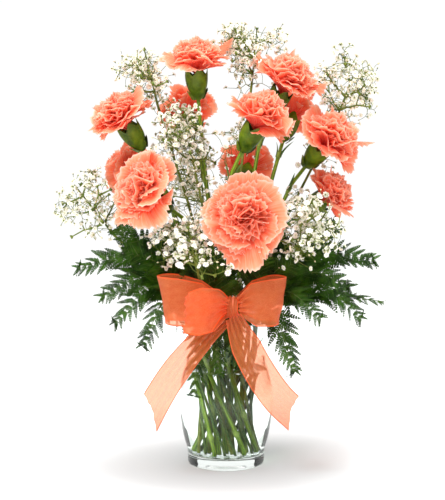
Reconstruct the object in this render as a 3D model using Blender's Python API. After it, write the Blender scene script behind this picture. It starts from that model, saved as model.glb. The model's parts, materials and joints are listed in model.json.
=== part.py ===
"""A dozen carnations with baby's breath and fern in a clear glass vase, tied with a ribbon bow.

Metres, +Z up. The origin is the middle of the vase's foot, on the surface it stands on. The front is at -Y.
"""

import math
from collections import namedtuple

import bmesh
import bpy
import numpy as np
from mathutils import Matrix, Vector

MM = 0.001
GAP = 0.4 * MM

# Vase
VASE_HEIGHT = 150 * MM
FOOT_RADIUS = 40 * MM
BELLY_RADIUS = 49 * MM
BELLY_HEIGHT = 61 * MM
NECK_RADIUS = 42 * MM
NECK_HEIGHT = 114 * MM
LIP_RADIUS = 49 * MM
GLASS_WALL = 2.8 * MM
BASE_THICKNESS = 11 * MM
WATER_DEPTH = 88 * MM
VASE_SIDES = 28

# Stems
STEM_DIAMETER = 5.4 * MM
SPRAY_STEM_DIAMETER = 2.8 * MM
FOOT_CLEARANCE = 3 * MM
STEM_TWIST = math.radians(90)
STEM_SIDES = 6
MOUTH_RISE = 7 * MM

# Carnation heads
HEAD_RISE = 272 * MM
BLOOM_DIAMETER = 72 * MM
HEAD_SPREAD = 1.53 * BLOOM_DIAMETER
HEAD_DEPTH = 1.18 * BLOOM_DIAMETER
BLOOM_HEIGHT = 35 * MM
BLOOM_THROAT_RADIUS = 9.2 * MM
BLOOM_SIDES = 16
CALYX_LENGTH = 27 * MM
CALYX_WALL = 1.3 * MM
CALYX_TEETH = 5
TOOTH_LENGTH = 6 * MM

# Baby's breath
TWIG_WIDTH = 1.2 * MM
FLORET_WIDTH = 3.6 * MM
SPRAY_REACH = 46 * MM
TWIG_CLEARANCE = 2.5 * MM
FORK_LEAN = 1.0
TOP_TWIG_LENGTH = 12 * MM
SPRAY_TOP_WIDTH = 1.7 * MM
JOINT_LENGTH = 3 * MM

# Fern
FROND_THICKNESS = 1.2 * MM
FROND_WIDTH = 74 * MM
PETIOLE_WIDTH = 2.8 * MM
RACHIS_WIDTH = 5 * MM
PINNA_PAIRS = 7
BLADE_START = 0.36
LEAFLET_SWEEP = 0.55
EDGE_SAG = 0.10
RACHIS_SHARE = 1.5

# Ribbon bow
RIBBON_WIDTH = 47 * MM
RIBBON_THICKNESS = 1.0 * MM
BOW_RISE = 21 * MM
BOW_STAND_OFF = 20 * MM
KNOT_WIDTH = 17 * MM
KNOT_HEIGHT = 22 * MM
KNOT_DEPTH = 13 * MM
PICK_WIDTH = 2.0 * MM
PICK_PLACE = 12.5

MATERIALS = {
    "clear_glass": ((0.86, 0.92, 0.90), 0.03, 0.0),
    "water": ((0.80, 0.88, 0.84), 0.02, 0.0),
    "green_stem": ((0.10, 0.22, 0.03), 0.5, 0.0),
    "calyx_green": ((0.07, 0.16, 0.02), 0.5, 0.0),
    "carnation_petal": ((1.0, 0.27, 0.13), 0.6, 0.0),
    "babys_breath": ((0.55, 0.60, 0.36), 0.7, 0.0),
    "fern_green": ((0.02, 0.10, 0.01), 0.5, 0.0),
    "organza_ribbon": ((1.0, 0.20, 0.05), 0.5, 0.0),
}

# across, depth and rise are shares of HEAD_SPREAD, HEAD_DEPTH and HEAD_RISE; lean_right and lean_front tilt the
# bloom from straight up, in degrees; size is a share of BLOOM_DIAMETER; ring and place are its slot in the neck.
Head = namedtuple("Head", "name across depth rise lean_right lean_front size ring place")
HEADS = (
    Head("top_left", -0.29, 0.00, 1.00, -4, 12, 0.90, "inner", 2),
    Head("left", -0.99, -0.16, 0.78, -33, 14, 0.92, "middle", 4),
    Head("back_left", -0.42, 0.72, 0.82, -16, -42, 0.80, "middle", 2),
    Head("front_left", -0.74, -0.72, 0.50, -40, 48, 1.02, "outer", 10),
    Head("low_left", -1.00, 0.64, 0.585, -52, -40, 0.80, "outer", 7),
    Head("front", 0.15, -1.00, 0.40, -2, 76, 1.10, "outer", 12),
    Head("middle", 0.33, -0.47, 0.775, 28, 18, 0.96, "middle", 7),
    Head("top_right", 0.58, 0.00, 0.92, 24, 18, 0.98, "inner", 0),
    Head("right", 0.98, -0.12, 0.70, 36, 28, 0.98, "middle", 8),
    Head("low_right", 1.02, 0.04, 0.49, 52, 14, 0.84, "outer", 1),
    Head("low_back", 0.20, 0.80, 0.60, 6, -52, 0.84, "outer", 3),
    Head("back_right", 0.66, 0.72, 0.82, 16, -34, 0.84, "middle", 1),
)

# The middle of each spray, in the same shares as the heads, with its slot in the neck and a share of SPRAY_REACH.
Spray = namedtuple("Spray", "name across depth rise ring place size")
SPRAYS = (
    Spray("top_left", -0.71, 0.12, 0.93, "middle", 3, 0.85),
    Spray("top_centre", 0.27, 0.26, 1.01, "inner", 1, 0.95),
    Spray("right", 1.16, 0.40, 0.87, "middle", 0, 0.95),
    Spray("left", -1.25, -0.09, 0.43, "middle", 5, 1.05),
    Spray("low_right", 0.76, -0.68, 0.33, "outer", 13, 0.9),
    Spray("middle", -0.33, -0.26, 0.67, "inner", 3, 0.9),
    Spray("low_front", -0.29, -0.87, 0.28, "middle", 6, 0.8),
    Spray("back", -0.24, 0.98, 0.52, "outer", 5, 1.1),
)

# Each frond's heading (degrees, 0 to the right), the distance of its tip from the axis, the heights of its tip and
# of its crest above the lip, its share of FROND_WIDTH, the roll of its blade (degrees) and its slot in the neck.
Frond = namedtuple("Frond", "name heading reach end crest width roll ring place")
FRONDS = (
    Frond("upper_left", 181, 154 * MM, 36 * MM, 58 * MM, 1.00, -38, "outer", 8),
    Frond("lower_left", 206, 120 * MM, 10 * MM, 24 * MM, 0.80, -20, "outer", 9),
    Frond("upper_right", 2, 158 * MM, 58 * MM, 60 * MM, 0.86, 38, "outer", 0),
    Frond("lower_right", -17, 166 * MM, 24 * MM, 30 * MM, 0.86, 24, "outer", 15),
    Frond("right_droop", -46, 84 * MM, -32 * MM, 9 * MM, 0.50, 0, "outer", 14),
    Frond("front_droop", 243, 66 * MM, -46 * MM, 8 * MM, 0.44, 0, "outer", 11),
    Frond("back_left", 126, 130 * MM, 40 * MM, 46 * MM, 0.95, 20, "outer", 6),
    Frond("back_right", 52, 130 * MM, 40 * MM, 46 * MM, 0.95, -20, "outer", 2),
)


def clear_scene():
    for thing in list(bpy.data.objects):
        bpy.data.objects.remove(thing, do_unlink=True)


def material(name):
    made = bpy.data.materials.get(name)
    if made is None:
        colour, roughness, metallic = MATERIALS[name]
        made = bpy.data.materials.new(name)
        made.use_nodes = True
        shader = made.node_tree.nodes["Principled BSDF"]
        shader.inputs["Base Color"].default_value = (*colour, 1.0)
        shader.inputs["Roughness"].default_value = roughness
        shader.inputs["Metallic"].default_value = metallic
    return made


def add_object(name, bm, slot, smooth=True):
    """Turns a bmesh into a named object with its material, faces outwards."""
    bmesh.ops.recalc_face_normals(bm, faces=bm.faces)
    mesh = bpy.data.meshes.new(name)
    bm.to_mesh(mesh)
    bm.free()
    mesh.materials.append(material(slot))
    if smooth:
        mesh.shade_smooth()
    made = bpy.data.objects.new(name, mesh)
    bpy.context.scene.collection.objects.link(made)
    return made


def smooth_curve(points, count):
    """A Catmull-Rom curve through the points, with about count points spread evenly along its length."""
    knots = [2 * points[0] - points[1], *points, 2 * points[-1] - points[-2]]
    fine = []
    steps = 16
    for a, b, c, d in zip(knots, knots[1:], knots[2:], knots[3:]):
        for i in range(steps):
            t = i / steps
            fine.append(0.5 * (2 * b + (c - a) * t + (2 * a - 5 * b + 4 * c - d) * t**2
                               + (3 * b - a - 3 * c + d) * t**3))
    fine.append(points[-1].copy())
    lengths = np.cumsum([0.0] + [(b - a).length for a, b in zip(fine, fine[1:])])
    spots = np.linspace(0, lengths[-1], count)
    columns = [np.interp(spots, lengths, [p[axis] for p in fine]) for axis in range(3)]
    return [Vector(values) for values in zip(*columns)]


# ---------------------------------------------------------------- vase and water


def outer_profile():
    """Heights and radii of the glass's outside, from the foot up."""
    return (
        (0.0, FOOT_RADIUS - 2.5 * MM),
        (1.5 * MM, FOOT_RADIUS),
        (14 * MM, FOOT_RADIUS + 0.5 * MM),
        (0.55 * BELLY_HEIGHT, FOOT_RADIUS + 0.62 * (BELLY_RADIUS - FOOT_RADIUS)),
        (BELLY_HEIGHT, BELLY_RADIUS),
        (0.60 * BELLY_HEIGHT + 0.40 * NECK_HEIGHT, NECK_RADIUS + 0.78 * (BELLY_RADIUS - NECK_RADIUS)),
        (0.25 * BELLY_HEIGHT + 0.75 * NECK_HEIGHT, NECK_RADIUS + 0.17 * (BELLY_RADIUS - NECK_RADIUS)),
        (NECK_HEIGHT, NECK_RADIUS),
        (0.45 * NECK_HEIGHT + 0.55 * VASE_HEIGHT, NECK_RADIUS + 0.33 * (LIP_RADIUS - NECK_RADIUS)),
        (VASE_HEIGHT - 1.5 * MM, LIP_RADIUS),
    )


def inner_radius(height):
    """Radius of the glass's inside at a height above the thick base."""
    heights, radii = zip(*outer_profile())
    return float(np.interp(height, heights, radii)) - GLASS_WALL


def spun(name, profile, slot):
    """A solid of revolution from (height, radius) points that start and end on the axis."""
    bm = bmesh.new()
    points = [bm.verts.new((radius, 0, height)) for height, radius in profile]
    edges = [bm.edges.new(pair) for pair in zip(points, points[1:])]
    bmesh.ops.spin(
        bm, geom=points + edges, axis=(0, 0, 1), cent=(0, 0, 0), angle=math.tau, steps=VASE_SIDES, use_merge=True
    )
    bmesh.ops.remove_doubles(bm, verts=bm.verts, dist=0.01 * MM)
    return add_object(name, bm, slot)


def inside_heights():
    outside = [height for height, _ in outer_profile()]
    return [height for height in outside if height > BASE_THICKNESS + 2 * MM]


def add_vase():
    inside = [(height, inner_radius(height)) for height in reversed(inside_heights())]
    inside[0] = (VASE_HEIGHT - 1.5 * MM, LIP_RADIUS - GLASS_WALL)
    lip = ((VASE_HEIGHT, LIP_RADIUS - 1.0 * MM), (VASE_HEIGHT, LIP_RADIUS - GLASS_WALL + 0.8 * MM))
    floor = (
        (BASE_THICKNESS + 3 * MM, inner_radius(BASE_THICKNESS + 3 * MM) - 1.0 * MM),
        (BASE_THICKNESS, inner_radius(BASE_THICKNESS) - 6 * MM),
        (BASE_THICKNESS - 0.8 * MM, 0.0),
    )
    return spun("vase", ((0.0, 0.0), *outer_profile(), *lip, *inside, *floor), "clear_glass")


def water_level():
    return BASE_THICKNESS + WATER_DEPTH


def neck_slot(ring, place):
    """Where a stem passes the neck: three rings of places, shared out evenly round the axis."""
    share, places = {"outer": (0.80, 16), "middle": (0.50, 9), "inner": (0.19, 4)}[ring]
    radius = share * (NECK_RADIUS - GLASS_WALL)
    angle = math.tau * place / places
    return Vector((radius * math.cos(angle), radius * math.sin(angle), NECK_HEIGHT))


def stem_foot(ring, place):
    """Where that stem's cut end stands in the vase: the same place, twisted round the axis."""
    slot = neck_slot(ring, place)
    share = (inner_radius(BASE_THICKNESS) - 6 * MM) / (NECK_RADIUS - GLASS_WALL)
    foot = Matrix.Rotation(STEM_TWIST, 3, "Z") @ slot * share
    foot.z = BASE_THICKNESS + FOOT_CLEARANCE
    return foot


def tube(name, points, radii, slot, sides=STEM_SIDES):
    """A stem: a bevelled curve with filled caps through the points."""
    curve = bpy.data.curves.new(name, "CURVE")
    curve.dimensions = "3D"
    curve.bevel_depth = 1.0
    curve.bevel_resolution = (sides - 4) // 2
    curve.use_fill_caps = True
    spline = curve.splines.new("POLY")
    spline.points.add(len(points) - 1)
    for knot, place, radius in zip(spline.points, points, radii):
        knot.co = (*place, 1.0)
        knot.radius = radius
    curve.materials.append(material(slot))
    made = bpy.data.objects.new(name, curve)
    bpy.context.scene.collection.objects.link(made)
    return made


def mouth_point(slot):
    """Where the stem of a neck slot leaves the mouth, inside the lip."""
    spread = (LIP_RADIUS - GLASS_WALL) / (NECK_RADIUS - GLASS_WALL)
    return Vector((slot.x * spread, slot.y * spread, VASE_HEIGHT + MOUTH_RISE))


def stem_route(ring, place, end, end_direction, bend, count):
    """Straight from the foot to the neck, then one smooth curve to the end."""
    foot = stem_foot(ring, place)
    slot = neck_slot(ring, place)
    mouth = mouth_point(slot)
    before = end - end_direction * bend
    middle = (mouth + before) / 2 + Vector((0, 0, 0.06 * (before - mouth).length))
    return [foot, *smooth_curve([slot, mouth, middle, before, end], count)]


# ---------------------------------------------------------------- carnations


def head_axis(head):
    right = math.radians(head.lean_right)
    front = math.radians(head.lean_front)
    lean = math.hypot(right, front)
    side = Vector((right, -front, 0)).normalized()
    return (side * math.sin(lean) + Vector((0, 0, math.cos(lean)))).normalized()


def head_middle(head):
    return Vector((head.across * HEAD_SPREAD, head.depth * HEAD_DEPTH, VASE_HEIGHT + head.rise * HEAD_RISE))


def head_base(head):
    """The middle of the bloom's underside, where it sits in its calyx."""
    return head_middle(head) - head_axis(head) * 0.5 * BLOOM_HEIGHT


def head_frame(head):
    """Places a piece modelled round +Z on the head's axis, with its base at the origin."""
    turn = Vector((0, 0, 1)).rotation_difference(head_axis(head))
    return Matrix.Translation(head_base(head)) @ turn.to_matrix().to_4x4()


def wavy_solid(name, rings, sides, slot, ripple):
    """A closed form round +Z: rings of (radius, height, ripple share) between two poles on the axis."""
    bm = bmesh.new()
    loops = []
    for radius, height, share in rings:
        loop = []
        for i in range(sides):
            angle = math.tau * i / sides
            swell, lift = ripple(angle, share)
            place = (radius * swell * math.cos(angle), radius * swell * math.sin(angle), height + lift)
            loop.append(bm.verts.new(place))
        loops.append(loop)
    for low, high in zip(loops, loops[1:]):
        for i in range(sides):
            j = (i + 1) % sides
            bm.faces.new((low[i], low[j], high[j], high[i]))
    bm.faces.new(loops[0])
    bm.faces.new(loops[-1])
    return add_object(name, bm, slot)


def add_bloom(head, number):
    """The ruffled dome that the petals fill, narrowing to a throat in the calyx."""
    radius = head.size * BLOOM_DIAMETER / 2
    rings = (
        (BLOOM_THROAT_RADIUS - 2 * MM, 0.0, 0.0),
        (BLOOM_THROAT_RADIUS, 0.19 * BLOOM_HEIGHT, 0.0),
        (0.62 * radius, 0.30 * BLOOM_HEIGHT, 0.4),
        (0.97 * radius, 0.42 * BLOOM_HEIGHT, 1.0),
        (0.98 * radius, 0.62 * BLOOM_HEIGHT, 1.0),
        (0.72 * radius, 0.86 * BLOOM_HEIGHT, 0.8),
        (0.34 * radius, 1.00 * BLOOM_HEIGHT, 0.5),
    )

    def ripple(angle, share):
        wave = math.sin(5 * angle + number) + 0.6 * math.sin(7 * angle + 2 * number)
        return 1 + 0.045 * share * wave, 1.3 * MM * share * math.sin(6 * angle + 3 * number)

    bloom = wavy_solid(f"{head.name}_bloom", rings, BLOOM_SIDES, "carnation_petal", ripple)
    bloom.matrix_world = head_frame(head)
    return bloom


def add_calyx(head):
    """The green cup under the petals, ending in pointed teeth round the bloom's throat."""
    sides = 3 * CALYX_TEETH
    inside = BLOOM_THROAT_RADIUS + 1.0 * MM
    outside = inside + CALYX_WALL
    length = CALYX_LENGTH
    rings = (
        (STEM_DIAMETER / 2 + 0.6 * MM, -length, 0.0),
        (STEM_DIAMETER / 2 + 2.6 * MM, -0.86 * length, 0.0),
        (0.80 * outside, -0.55 * length, 0.0),
        (outside, -0.16 * length, 0.0),
        (outside + 0.4 * MM, -1.0 * MM, 1.0),
        (inside + 0.3 * MM, -1.0 * MM, 1.0),
        (inside - 1.5 * MM, -GAP - 1.6 * MM, 0.0),
    )

    def tooth(angle, share):
        return 1, share * TOOTH_LENGTH * max(0.0, math.cos(CALYX_TEETH * angle)) ** 0.8

    calyx = wavy_solid(f"{head.name}_calyx", rings, sides, "calyx_green", tooth)
    calyx.matrix_world = head_frame(head)
    return calyx


def head_stem_route(head):
    axis = head_axis(head)
    end = head_base(head) - axis * (CALYX_LENGTH + GAP)
    return stem_route(head.ring, head.place, end, axis, 22 * MM, 9)


def add_head_stem(head):
    route = head_stem_route(head)
    radii = [STEM_DIAMETER / 2 * (1 - 0.12 * i / len(route)) for i in range(len(route))]
    return tube(f"{head.name}_stem", route, radii, "green_stem")


# ---------------------------------------------------------------- baby's breath


def distance_to_segment(point, start, end):
    span = end - start
    along = 0.0 if span.length_squared == 0 else max(0.0, min(1.0, (point - start).dot(span) / span.length_squared))
    return (point - start - span * along).length


def clearance(start, end, obstacles):
    """The least distance from a straight twig to the solids round it, each a thick segment."""
    samples = [start.lerp(end, share) for share in (0.3, 0.45, 0.6, 0.75, 0.9, 1.0)]
    return min(distance_to_segment(p, a, b) - radius for p in samples for a, b, radius in obstacles)


def grow(bm, face, direction, length, width):
    """Extrudes a four-sided face into a square twig that ends at right angles to its direction."""
    extruded = bmesh.ops.extrude_discrete_faces(bm, faces=[face])["faces"][0]
    middle = extruded.calc_center_median()
    turn = extruded.normal.rotation_difference(direction)
    for corner in extruded.verts:
        offset = turn @ (corner.co - middle)
        corner.co = middle + direction * length + offset.normalized() * width * math.sqrt(0.5)
    extruded.normal_update()
    return extruded


def sides_of(tip):
    """The side faces of the stretch of twig that ends in this face."""
    sides = [face for edge in tip.edges for face in edge.link_faces if face != tip]
    for face in sides:
        face.normal_update()
    return sides


def floret(bm, face, direction):
    """A small flower at a twig's end: the twig widens into a cup."""
    grow(bm, face, direction, 0.7 * FLORET_WIDTH, FLORET_WIDTH)


def clearest(choices, aims_of, start, length, obstacles):
    """The first choice whose twigs all keep well clear of every obstacle, or the one that keeps farthest from them."""
    def room(choice):
        gaps = [clearance(start, start + aim * length, obstacles) for aim in aims_of(choice)]
        return min(*gaps, 2 * TWIG_CLEARANCE)

    return max(choices, key=room)


def aims_round(direction, spin, tilt):
    """Directions that lean off the given one by the tilt, starting at the given spin round it."""
    across = direction.orthogonal().normalized()
    aims = []
    for step in range(12):
        side = Matrix.Rotation(spin + step * math.tau / 12 * (1 if step % 2 else -1), 3, direction) @ across
        for lean in (tilt, 0.65 * tilt, 1.35 * tilt):
            aims.append((direction * math.cos(lean) + side * math.sin(lean)).normalized())
    return aims


def grow_branch(bm, face, start_direction, spin, length, obstacles, made):
    """A side branch that bends away from the stem, then forks into two twigs with florets."""
    start = face.calc_center_median()
    aims = [aim for aim in aims_round(start_direction, spin, math.radians(52)) if aim.dot(face.normal) > 0.45]
    first = clearest(aims, lambda aim: (aim,), start, 0.9 * length, obstacles)
    bent = (first + face.normal * 0.5).normalized()
    tip = grow(bm, face, bent, 0.25 * length, TWIG_WIDTH)
    elbow = tip.calc_center_median()
    tip = grow(bm, tip, first, 0.30 * length, TWIG_WIDTH)
    fork = tip.calc_center_median()
    made += [(start, elbow, TWIG_WIDTH), (elbow, fork, TWIG_WIDTH)]

    def twig_aims(side):
        return [(first + side * lean).normalized() for lean in (-0.35 * FORK_LEAN, FORK_LEAN)]

    sides = [Matrix.Rotation(spin + step * math.tau / 12, 3, first) @ first.orthogonal() for step in range(12)]
    twig = 0.30 * length
    reach = twig + FLORET_WIDTH
    across = clearest([side.normalized() for side in sides], twig_aims, fork, reach, obstacles)
    tip = grow(bm, tip, first, 1.6 * TWIG_WIDTH, TWIG_WIDTH)
    twig_face = max(sides_of(tip), key=lambda f: f.normal.dot(across))
    for root, aim in zip((tip, twig_face), twig_aims(across)):
        end = grow(bm, root, aim, twig, 0.85 * TWIG_WIDTH)
        made.append((fork, fork + aim * reach, FLORET_WIDTH / 2))
        floret(bm, end, aim)


def spray_middle(spray):
    return Vector((spray.across * HEAD_SPREAD, spray.depth * HEAD_DEPTH, VASE_HEIGHT + spray.rise * HEAD_RISE))


def add_spray(spray, number, obstacles):
    """One stem of baby's breath: a thin stem from the vase with branches that fork near its top."""
    reach = spray.size * SPRAY_REACH
    middle = spray_middle(spray)
    slot = neck_slot(spray.ring, spray.place)
    outward = (middle - slot).normalized()
    top = middle + outward * 0.35 * reach
    low = middle - outward * 0.75 * reach
    route = stem_route(spray.ring, spray.place, low, outward, 14 * MM, 6)
    levels = [low.lerp(top, share) for share in (0.33, 0.66, 1.0)]
    bm = bmesh.new()
    heading = (route[1] - route[0]).normalized()
    turn = Vector((0, 0, 1)).rotation_difference(heading).to_matrix().to_4x4()
    cut_end = route[0] + heading * SPRAY_STEM_DIAMETER / 2
    bmesh.ops.create_cube(bm, size=SPRAY_STEM_DIAMETER, matrix=Matrix.Translation(cut_end) @ turn)
    bm.normal_update()
    tip = max(bm.faces, key=lambda f: f.normal.dot(heading))
    place = tip.calc_center_median()
    for target in route[1:]:
        step = target - place
        tip = grow(bm, tip, step.normalized(), step.length, SPRAY_STEM_DIAMETER * 0.9)
        place = target
    made = [(low, top, TWIG_WIDTH)]
    for level, target in enumerate(levels):
        step = target - place
        direction = step.normalized()
        width = SPRAY_TOP_WIDTH - 0.2 * level * MM
        tip = grow(bm, tip, direction, step.length - JOINT_LENGTH, 1.1 * width)
        tip = grow(bm, tip, direction, JOINT_LENGTH, width)
        sides = sorted(sides_of(tip), key=lambda f: f.calc_center_median()[0])
        length = reach * (1.05 - 0.2 * level)
        for order, side in enumerate(sides[: 2 if level == 2 else 3]):
            aim = (direction + side.normal * 0.6).normalized()
            grow_branch(bm, side, aim, number + 1.3 * order + 0.9 * level, length, obstacles + made, made)
        place = target
    floret(bm, grow(bm, tip, outward, TOP_TWIG_LENGTH, TWIG_WIDTH), outward)
    return add_object(f"babys_breath_{spray.name}", bm, "babys_breath"), made


# ---------------------------------------------------------------- fern


def frond_route(frond):
    """The petiole's straight lower stretch, then its arch over the lip, then the midrib out to the tip."""
    slot = neck_slot(frond.ring, frond.place)
    foot = stem_foot(frond.ring, frond.place)
    out = Vector((math.cos(math.radians(frond.heading)), math.sin(math.radians(frond.heading)), 0))
    mouth = mouth_point(slot)
    crest = out * (LIP_RADIUS + 0.42 * (frond.reach - LIP_RADIUS)) + Vector((0, 0, VASE_HEIGHT + frond.crest))
    tip = out * frond.reach + Vector((0, 0, VASE_HEIGHT + frond.end))
    arch = smooth_curve([slot, mouth, crest, tip], 101)
    blade_start = round(100 * BLADE_START)
    stalk = [arch[round(blade_start * share)] for share in (0.25, 0.5, 0.75)]
    blade = [arch[round(spot)] for spot in np.linspace(blade_start, 100, 2 * PINNA_PAIRS)]
    return [foot, slot], stalk, blade


def frond_section(bm, place, direction, half_width, sweep, half_thickness, roll=0.0):
    """Six corners across a frond, thicker at the midrib: the two edges sweep towards the tip and sag a little."""
    turn = Matrix.Rotation(roll, 3, direction)
    across = turn @ direction.cross(Vector((0, 0, 1))).normalized()
    up = across.cross(direction).normalized()
    edges = [place + across * side * half_width + direction * sweep - up * EDGE_SAG * half_width for side in (-1, 1)]
    edge = up * half_thickness
    middle = edge * RACHIS_SHARE
    spots = (edges[0] + edge, place + middle, edges[1] + edge, edges[1] - edge, place - middle, edges[0] - edge)
    return [bm.verts.new(spot) for spot in spots]


def blade_sections(bm, frond, blade):
    """A notched triangle: wide sections at the side leaflets' tips, and narrow ones between them."""
    sections = []
    for i, place in enumerate(blade[:-1]):
        direction = (blade[i + 1] - place).normalized()
        share = i / (len(blade) - 1)
        reach = frond.width * FROND_WIDTH / 2 * (1 - share) ** 0.85
        half_width, sweep = RACHIS_WIDTH / 2 * (1 - 0.5 * share), 0
        if i % 2:
            half_width, sweep = reach + RACHIS_WIDTH / 2, LEAFLET_SWEEP * reach
        roll = math.radians(frond.roll) * min(1.0, (i + 1) / 3)
        sections.append(frond_section(bm, place, direction, half_width, sweep, FROND_THICKNESS / 2, roll))
    last = blade[-1] - blade[-2]
    roll = math.radians(frond.roll)
    sections.append(frond_section(bm, blade[-1], last.normalized(), last.length / 4, 0, FROND_THICKNESS / 2, roll))
    return sections


def add_frond(frond):
    """A thin triangular blade, notched between swept side leaflets, on a narrow stalk."""
    petiole, stalk, blade = frond_route(frond)
    bm = bmesh.new()
    rise = (petiole[1] - petiole[0]).normalized()
    bare = [(place, rise) for place in petiole]
    points = [*stalk, blade[0]]
    bare += [(place, (after - place).normalized()) for place, after in zip(points, points[1:])]
    sections = [
        frond_section(bm, place, direction, PETIOLE_WIDTH / 2, 0, PETIOLE_WIDTH / 3) for place, direction in bare
    ]
    sections += blade_sections(bm, frond, blade)
    count = len(sections[0])
    for low, high in zip(sections, sections[1:]):
        for i in range(count):
            j = (i + 1) % count
            bm.faces.new((low[i], low[j], high[j], high[i]))
    bm.faces.new(sections[0])
    bm.faces.new(sections[-1])
    return add_object(f"fern_{frond.name}", bm, "fern_green", smooth=False)


# ---------------------------------------------------------------- ribbon bow


def bow_middle():
    return Vector((4 * MM, -(LIP_RADIUS + BOW_STAND_OFF), VASE_HEIGHT + BOW_RISE))


def ribbon_strip(name, stations, count):
    """A thin strip through (place, edge direction, width share) stations; places are offsets from the knot."""
    middle = bow_middle()
    places = smooth_curve([middle + Vector(place) * MM for place, _, _ in stations], count)
    shares = np.linspace(0, len(stations) - 1, count)
    at = range(len(stations))
    edges = [np.interp(shares, at, [Vector(edge).normalized()[axis] for _, edge, _ in stations]) for axis in range(3)]
    widths = np.interp(shares, at, [width for _, _, width in stations]) * RIBBON_WIDTH
    bm = bmesh.new()
    sections = []
    for i, place in enumerate(places):
        along = (places[min(i + 1, count - 1)] - places[max(i - 1, 0)]).normalized()
        edge = Vector((edges[0][i], edges[1][i], edges[2][i]))
        edge = (edge - along * edge.dot(along)).normalized()
        face = along.cross(edge).normalized() * RIBBON_THICKNESS / 2
        half = edge * widths[i] / 2
        ring = (place - half - face, place + half - face, place + half + face, place - half + face)
        sections.append([bm.verts.new(spot) for spot in ring])
    for low, high in zip(sections, sections[1:]):
        for i in range(4):
            j = (i + 1) % 4
            bm.faces.new((low[i], low[j], high[j], high[i]))
    bm.faces.new(sections[0])
    bm.faces.new(sections[-1])
    return add_object(name, bm, "organza_ribbon", smooth=False)


def add_bow():
    """Two side loops, a small loop over the knot's left, two tails, and the knot with the pick that holds it."""
    up = (0, 0, 1)
    ribbon_strip("bow_left_loop", (
        ((-10, -3.5, 1), up, 0.40),
        ((-34, -13, 4), (-0.05, 0, 1), 0.90),
        ((-58, -13, 7), (-0.12, 0, 1), 0.98),
        ((-67, -2, 8), (-0.12, 0, 1), 1.0),
        ((-58, 9, 9), (-0.10, 0, 1), 0.98),
        ((-34, 9, 6), (0, 0, 1), 0.85),
        ((-10, 3.5, 3), up, 0.40),
    ), 15)
    ribbon_strip("bow_right_loop", (
        ((10, -3.5, 1), up, 0.40),
        ((26, -13, 4), (0.05, 0, 1), 0.90),
        ((43, -13, 6), (0.14, 0, 1), 0.98),
        ((51, -3, 7), (0.14, 0, 1), 1.0),
        ((43, 8, 8), (0.12, 0, 1), 0.98),
        ((26, 8, 6), (0, 0, 1), 0.85),
        ((10, 3.5, 3), up, 0.40),
    ), 15)
    ribbon_strip("bow_front_loop", (
        ((-5, -10.5, 0), up, 0.42),
        ((-19, -19, -1), up, 0.86),
        ((-33, -26, -4), up, 0.90),
        ((-39, -22.5, -6), up, 0.90),
        ((-32, -18.5, -6), up, 0.84),
    ), 11)
    ribbon_strip("bow_left_tail", (
        ((-7, -3, -17), (0.8, 0, 0.5), 0.30),
        ((-30, -8, -32), (0.8, 0, 0.5), 0.62),
        ((-52, -17, -58), (0.9, 0, 0.42), 0.66),
        ((-72, -18, -84), (0.9, -0.1, 0.35), 0.70),
        ((-88, -12, -110), (0.9, -0.1, 0.5), 0.74),
    ), 9)
    ribbon_strip("bow_right_tail", (
        ((5, -9.5, -14), (1, 0, 0.1), 0.42),
        ((14, -14, -34), (0.95, 0, 0.30), 0.72),
        ((30, -17, -62), (0.85, 0, 0.5), 0.76),
        ((50, -14, -88), (0.8, 0, 0.55), 0.80),
        ((68, -10, -106), (0.75, 0, 0.6), 0.86),
    ), 9)
    add_knot()


def add_knot():
    """The knot, a rounded block wired to a thin pick that runs back and down among the stems."""
    middle = bow_middle()
    bm = bmesh.new()
    bmesh.ops.create_cube(bm, size=1.0)
    bmesh.ops.scale(bm, vec=(KNOT_WIDTH, KNOT_DEPTH, KNOT_HEIGHT), verts=bm.verts)
    bmesh.ops.bevel(bm, geom=bm.edges[:], offset=0.28 * KNOT_DEPTH, segments=2, affect="EDGES", profile=0.5)
    bmesh.ops.translate(bm, vec=middle, verts=bm.verts)
    bm.normal_update()
    slot = neck_slot("outer", PICK_PLACE)
    mouth = mouth_point(slot)
    knot_back = Vector((0, KNOT_DEPTH, 0))
    route = (middle + knot_back, mouth + Vector((0, -4 * MM, 9 * MM)), mouth, slot - Vector((0, 0, 8 * MM)))
    tip = max(bm.faces, key=lambda f: f.normal.y * f.calc_area())
    for target in route:
        step = target - tip.calc_center_median()
        tip = grow(bm, tip, step.normalized(), step.length, PICK_WIDTH)
    return add_object("bow_knot", bm, "organza_ribbon")


# ---------------------------------------------------------------- assembly


def add_water(stem_lines):
    """The water round the stems: a turned body cut by each stem's straight lower stretch and its clearance."""
    top = water_level()
    heights = [height for height in inside_heights() if height < top - 2 * MM]
    wall = [(height, inner_radius(height) - GAP) for height in heights]
    floor = (
        (BASE_THICKNESS + GAP - 0.8 * MM, 0.0),
        (BASE_THICKNESS + GAP, inner_radius(BASE_THICKNESS) - 6 * MM - GAP),
        (BASE_THICKNESS + 3 * MM + GAP, inner_radius(BASE_THICKNESS + 3 * MM) - 1.0 * MM - GAP),
    )
    water = spun("water", (*floor, *wall, (top, inner_radius(top) - GAP), (top, 0.0)), "water")
    bm = bmesh.new()
    for foot, slot, radius in stem_lines:
        rise = (slot - foot).normalized()
        turn = Vector((0, 0, 1)).rotation_difference(rise).to_matrix().to_4x4()
        low = foot - rise * 2 * GAP
        span = (slot - low).length
        bmesh.ops.create_cone(
            bm, cap_ends=True, segments=6, radius1=radius, radius2=radius, depth=span,
            matrix=Matrix.Translation(low.lerp(slot, 0.5)) @ turn,
        )
    cutter = add_object("stem_cutter", bm, "water")
    cutter.hide_render = True
    cutter.display_type = "WIRE"
    cut = water.modifiers.new("stem_holes", "BOOLEAN")
    cut.object = cutter
    cut.operation = "DIFFERENCE"
    cut.solver = "EXACT"


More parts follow.
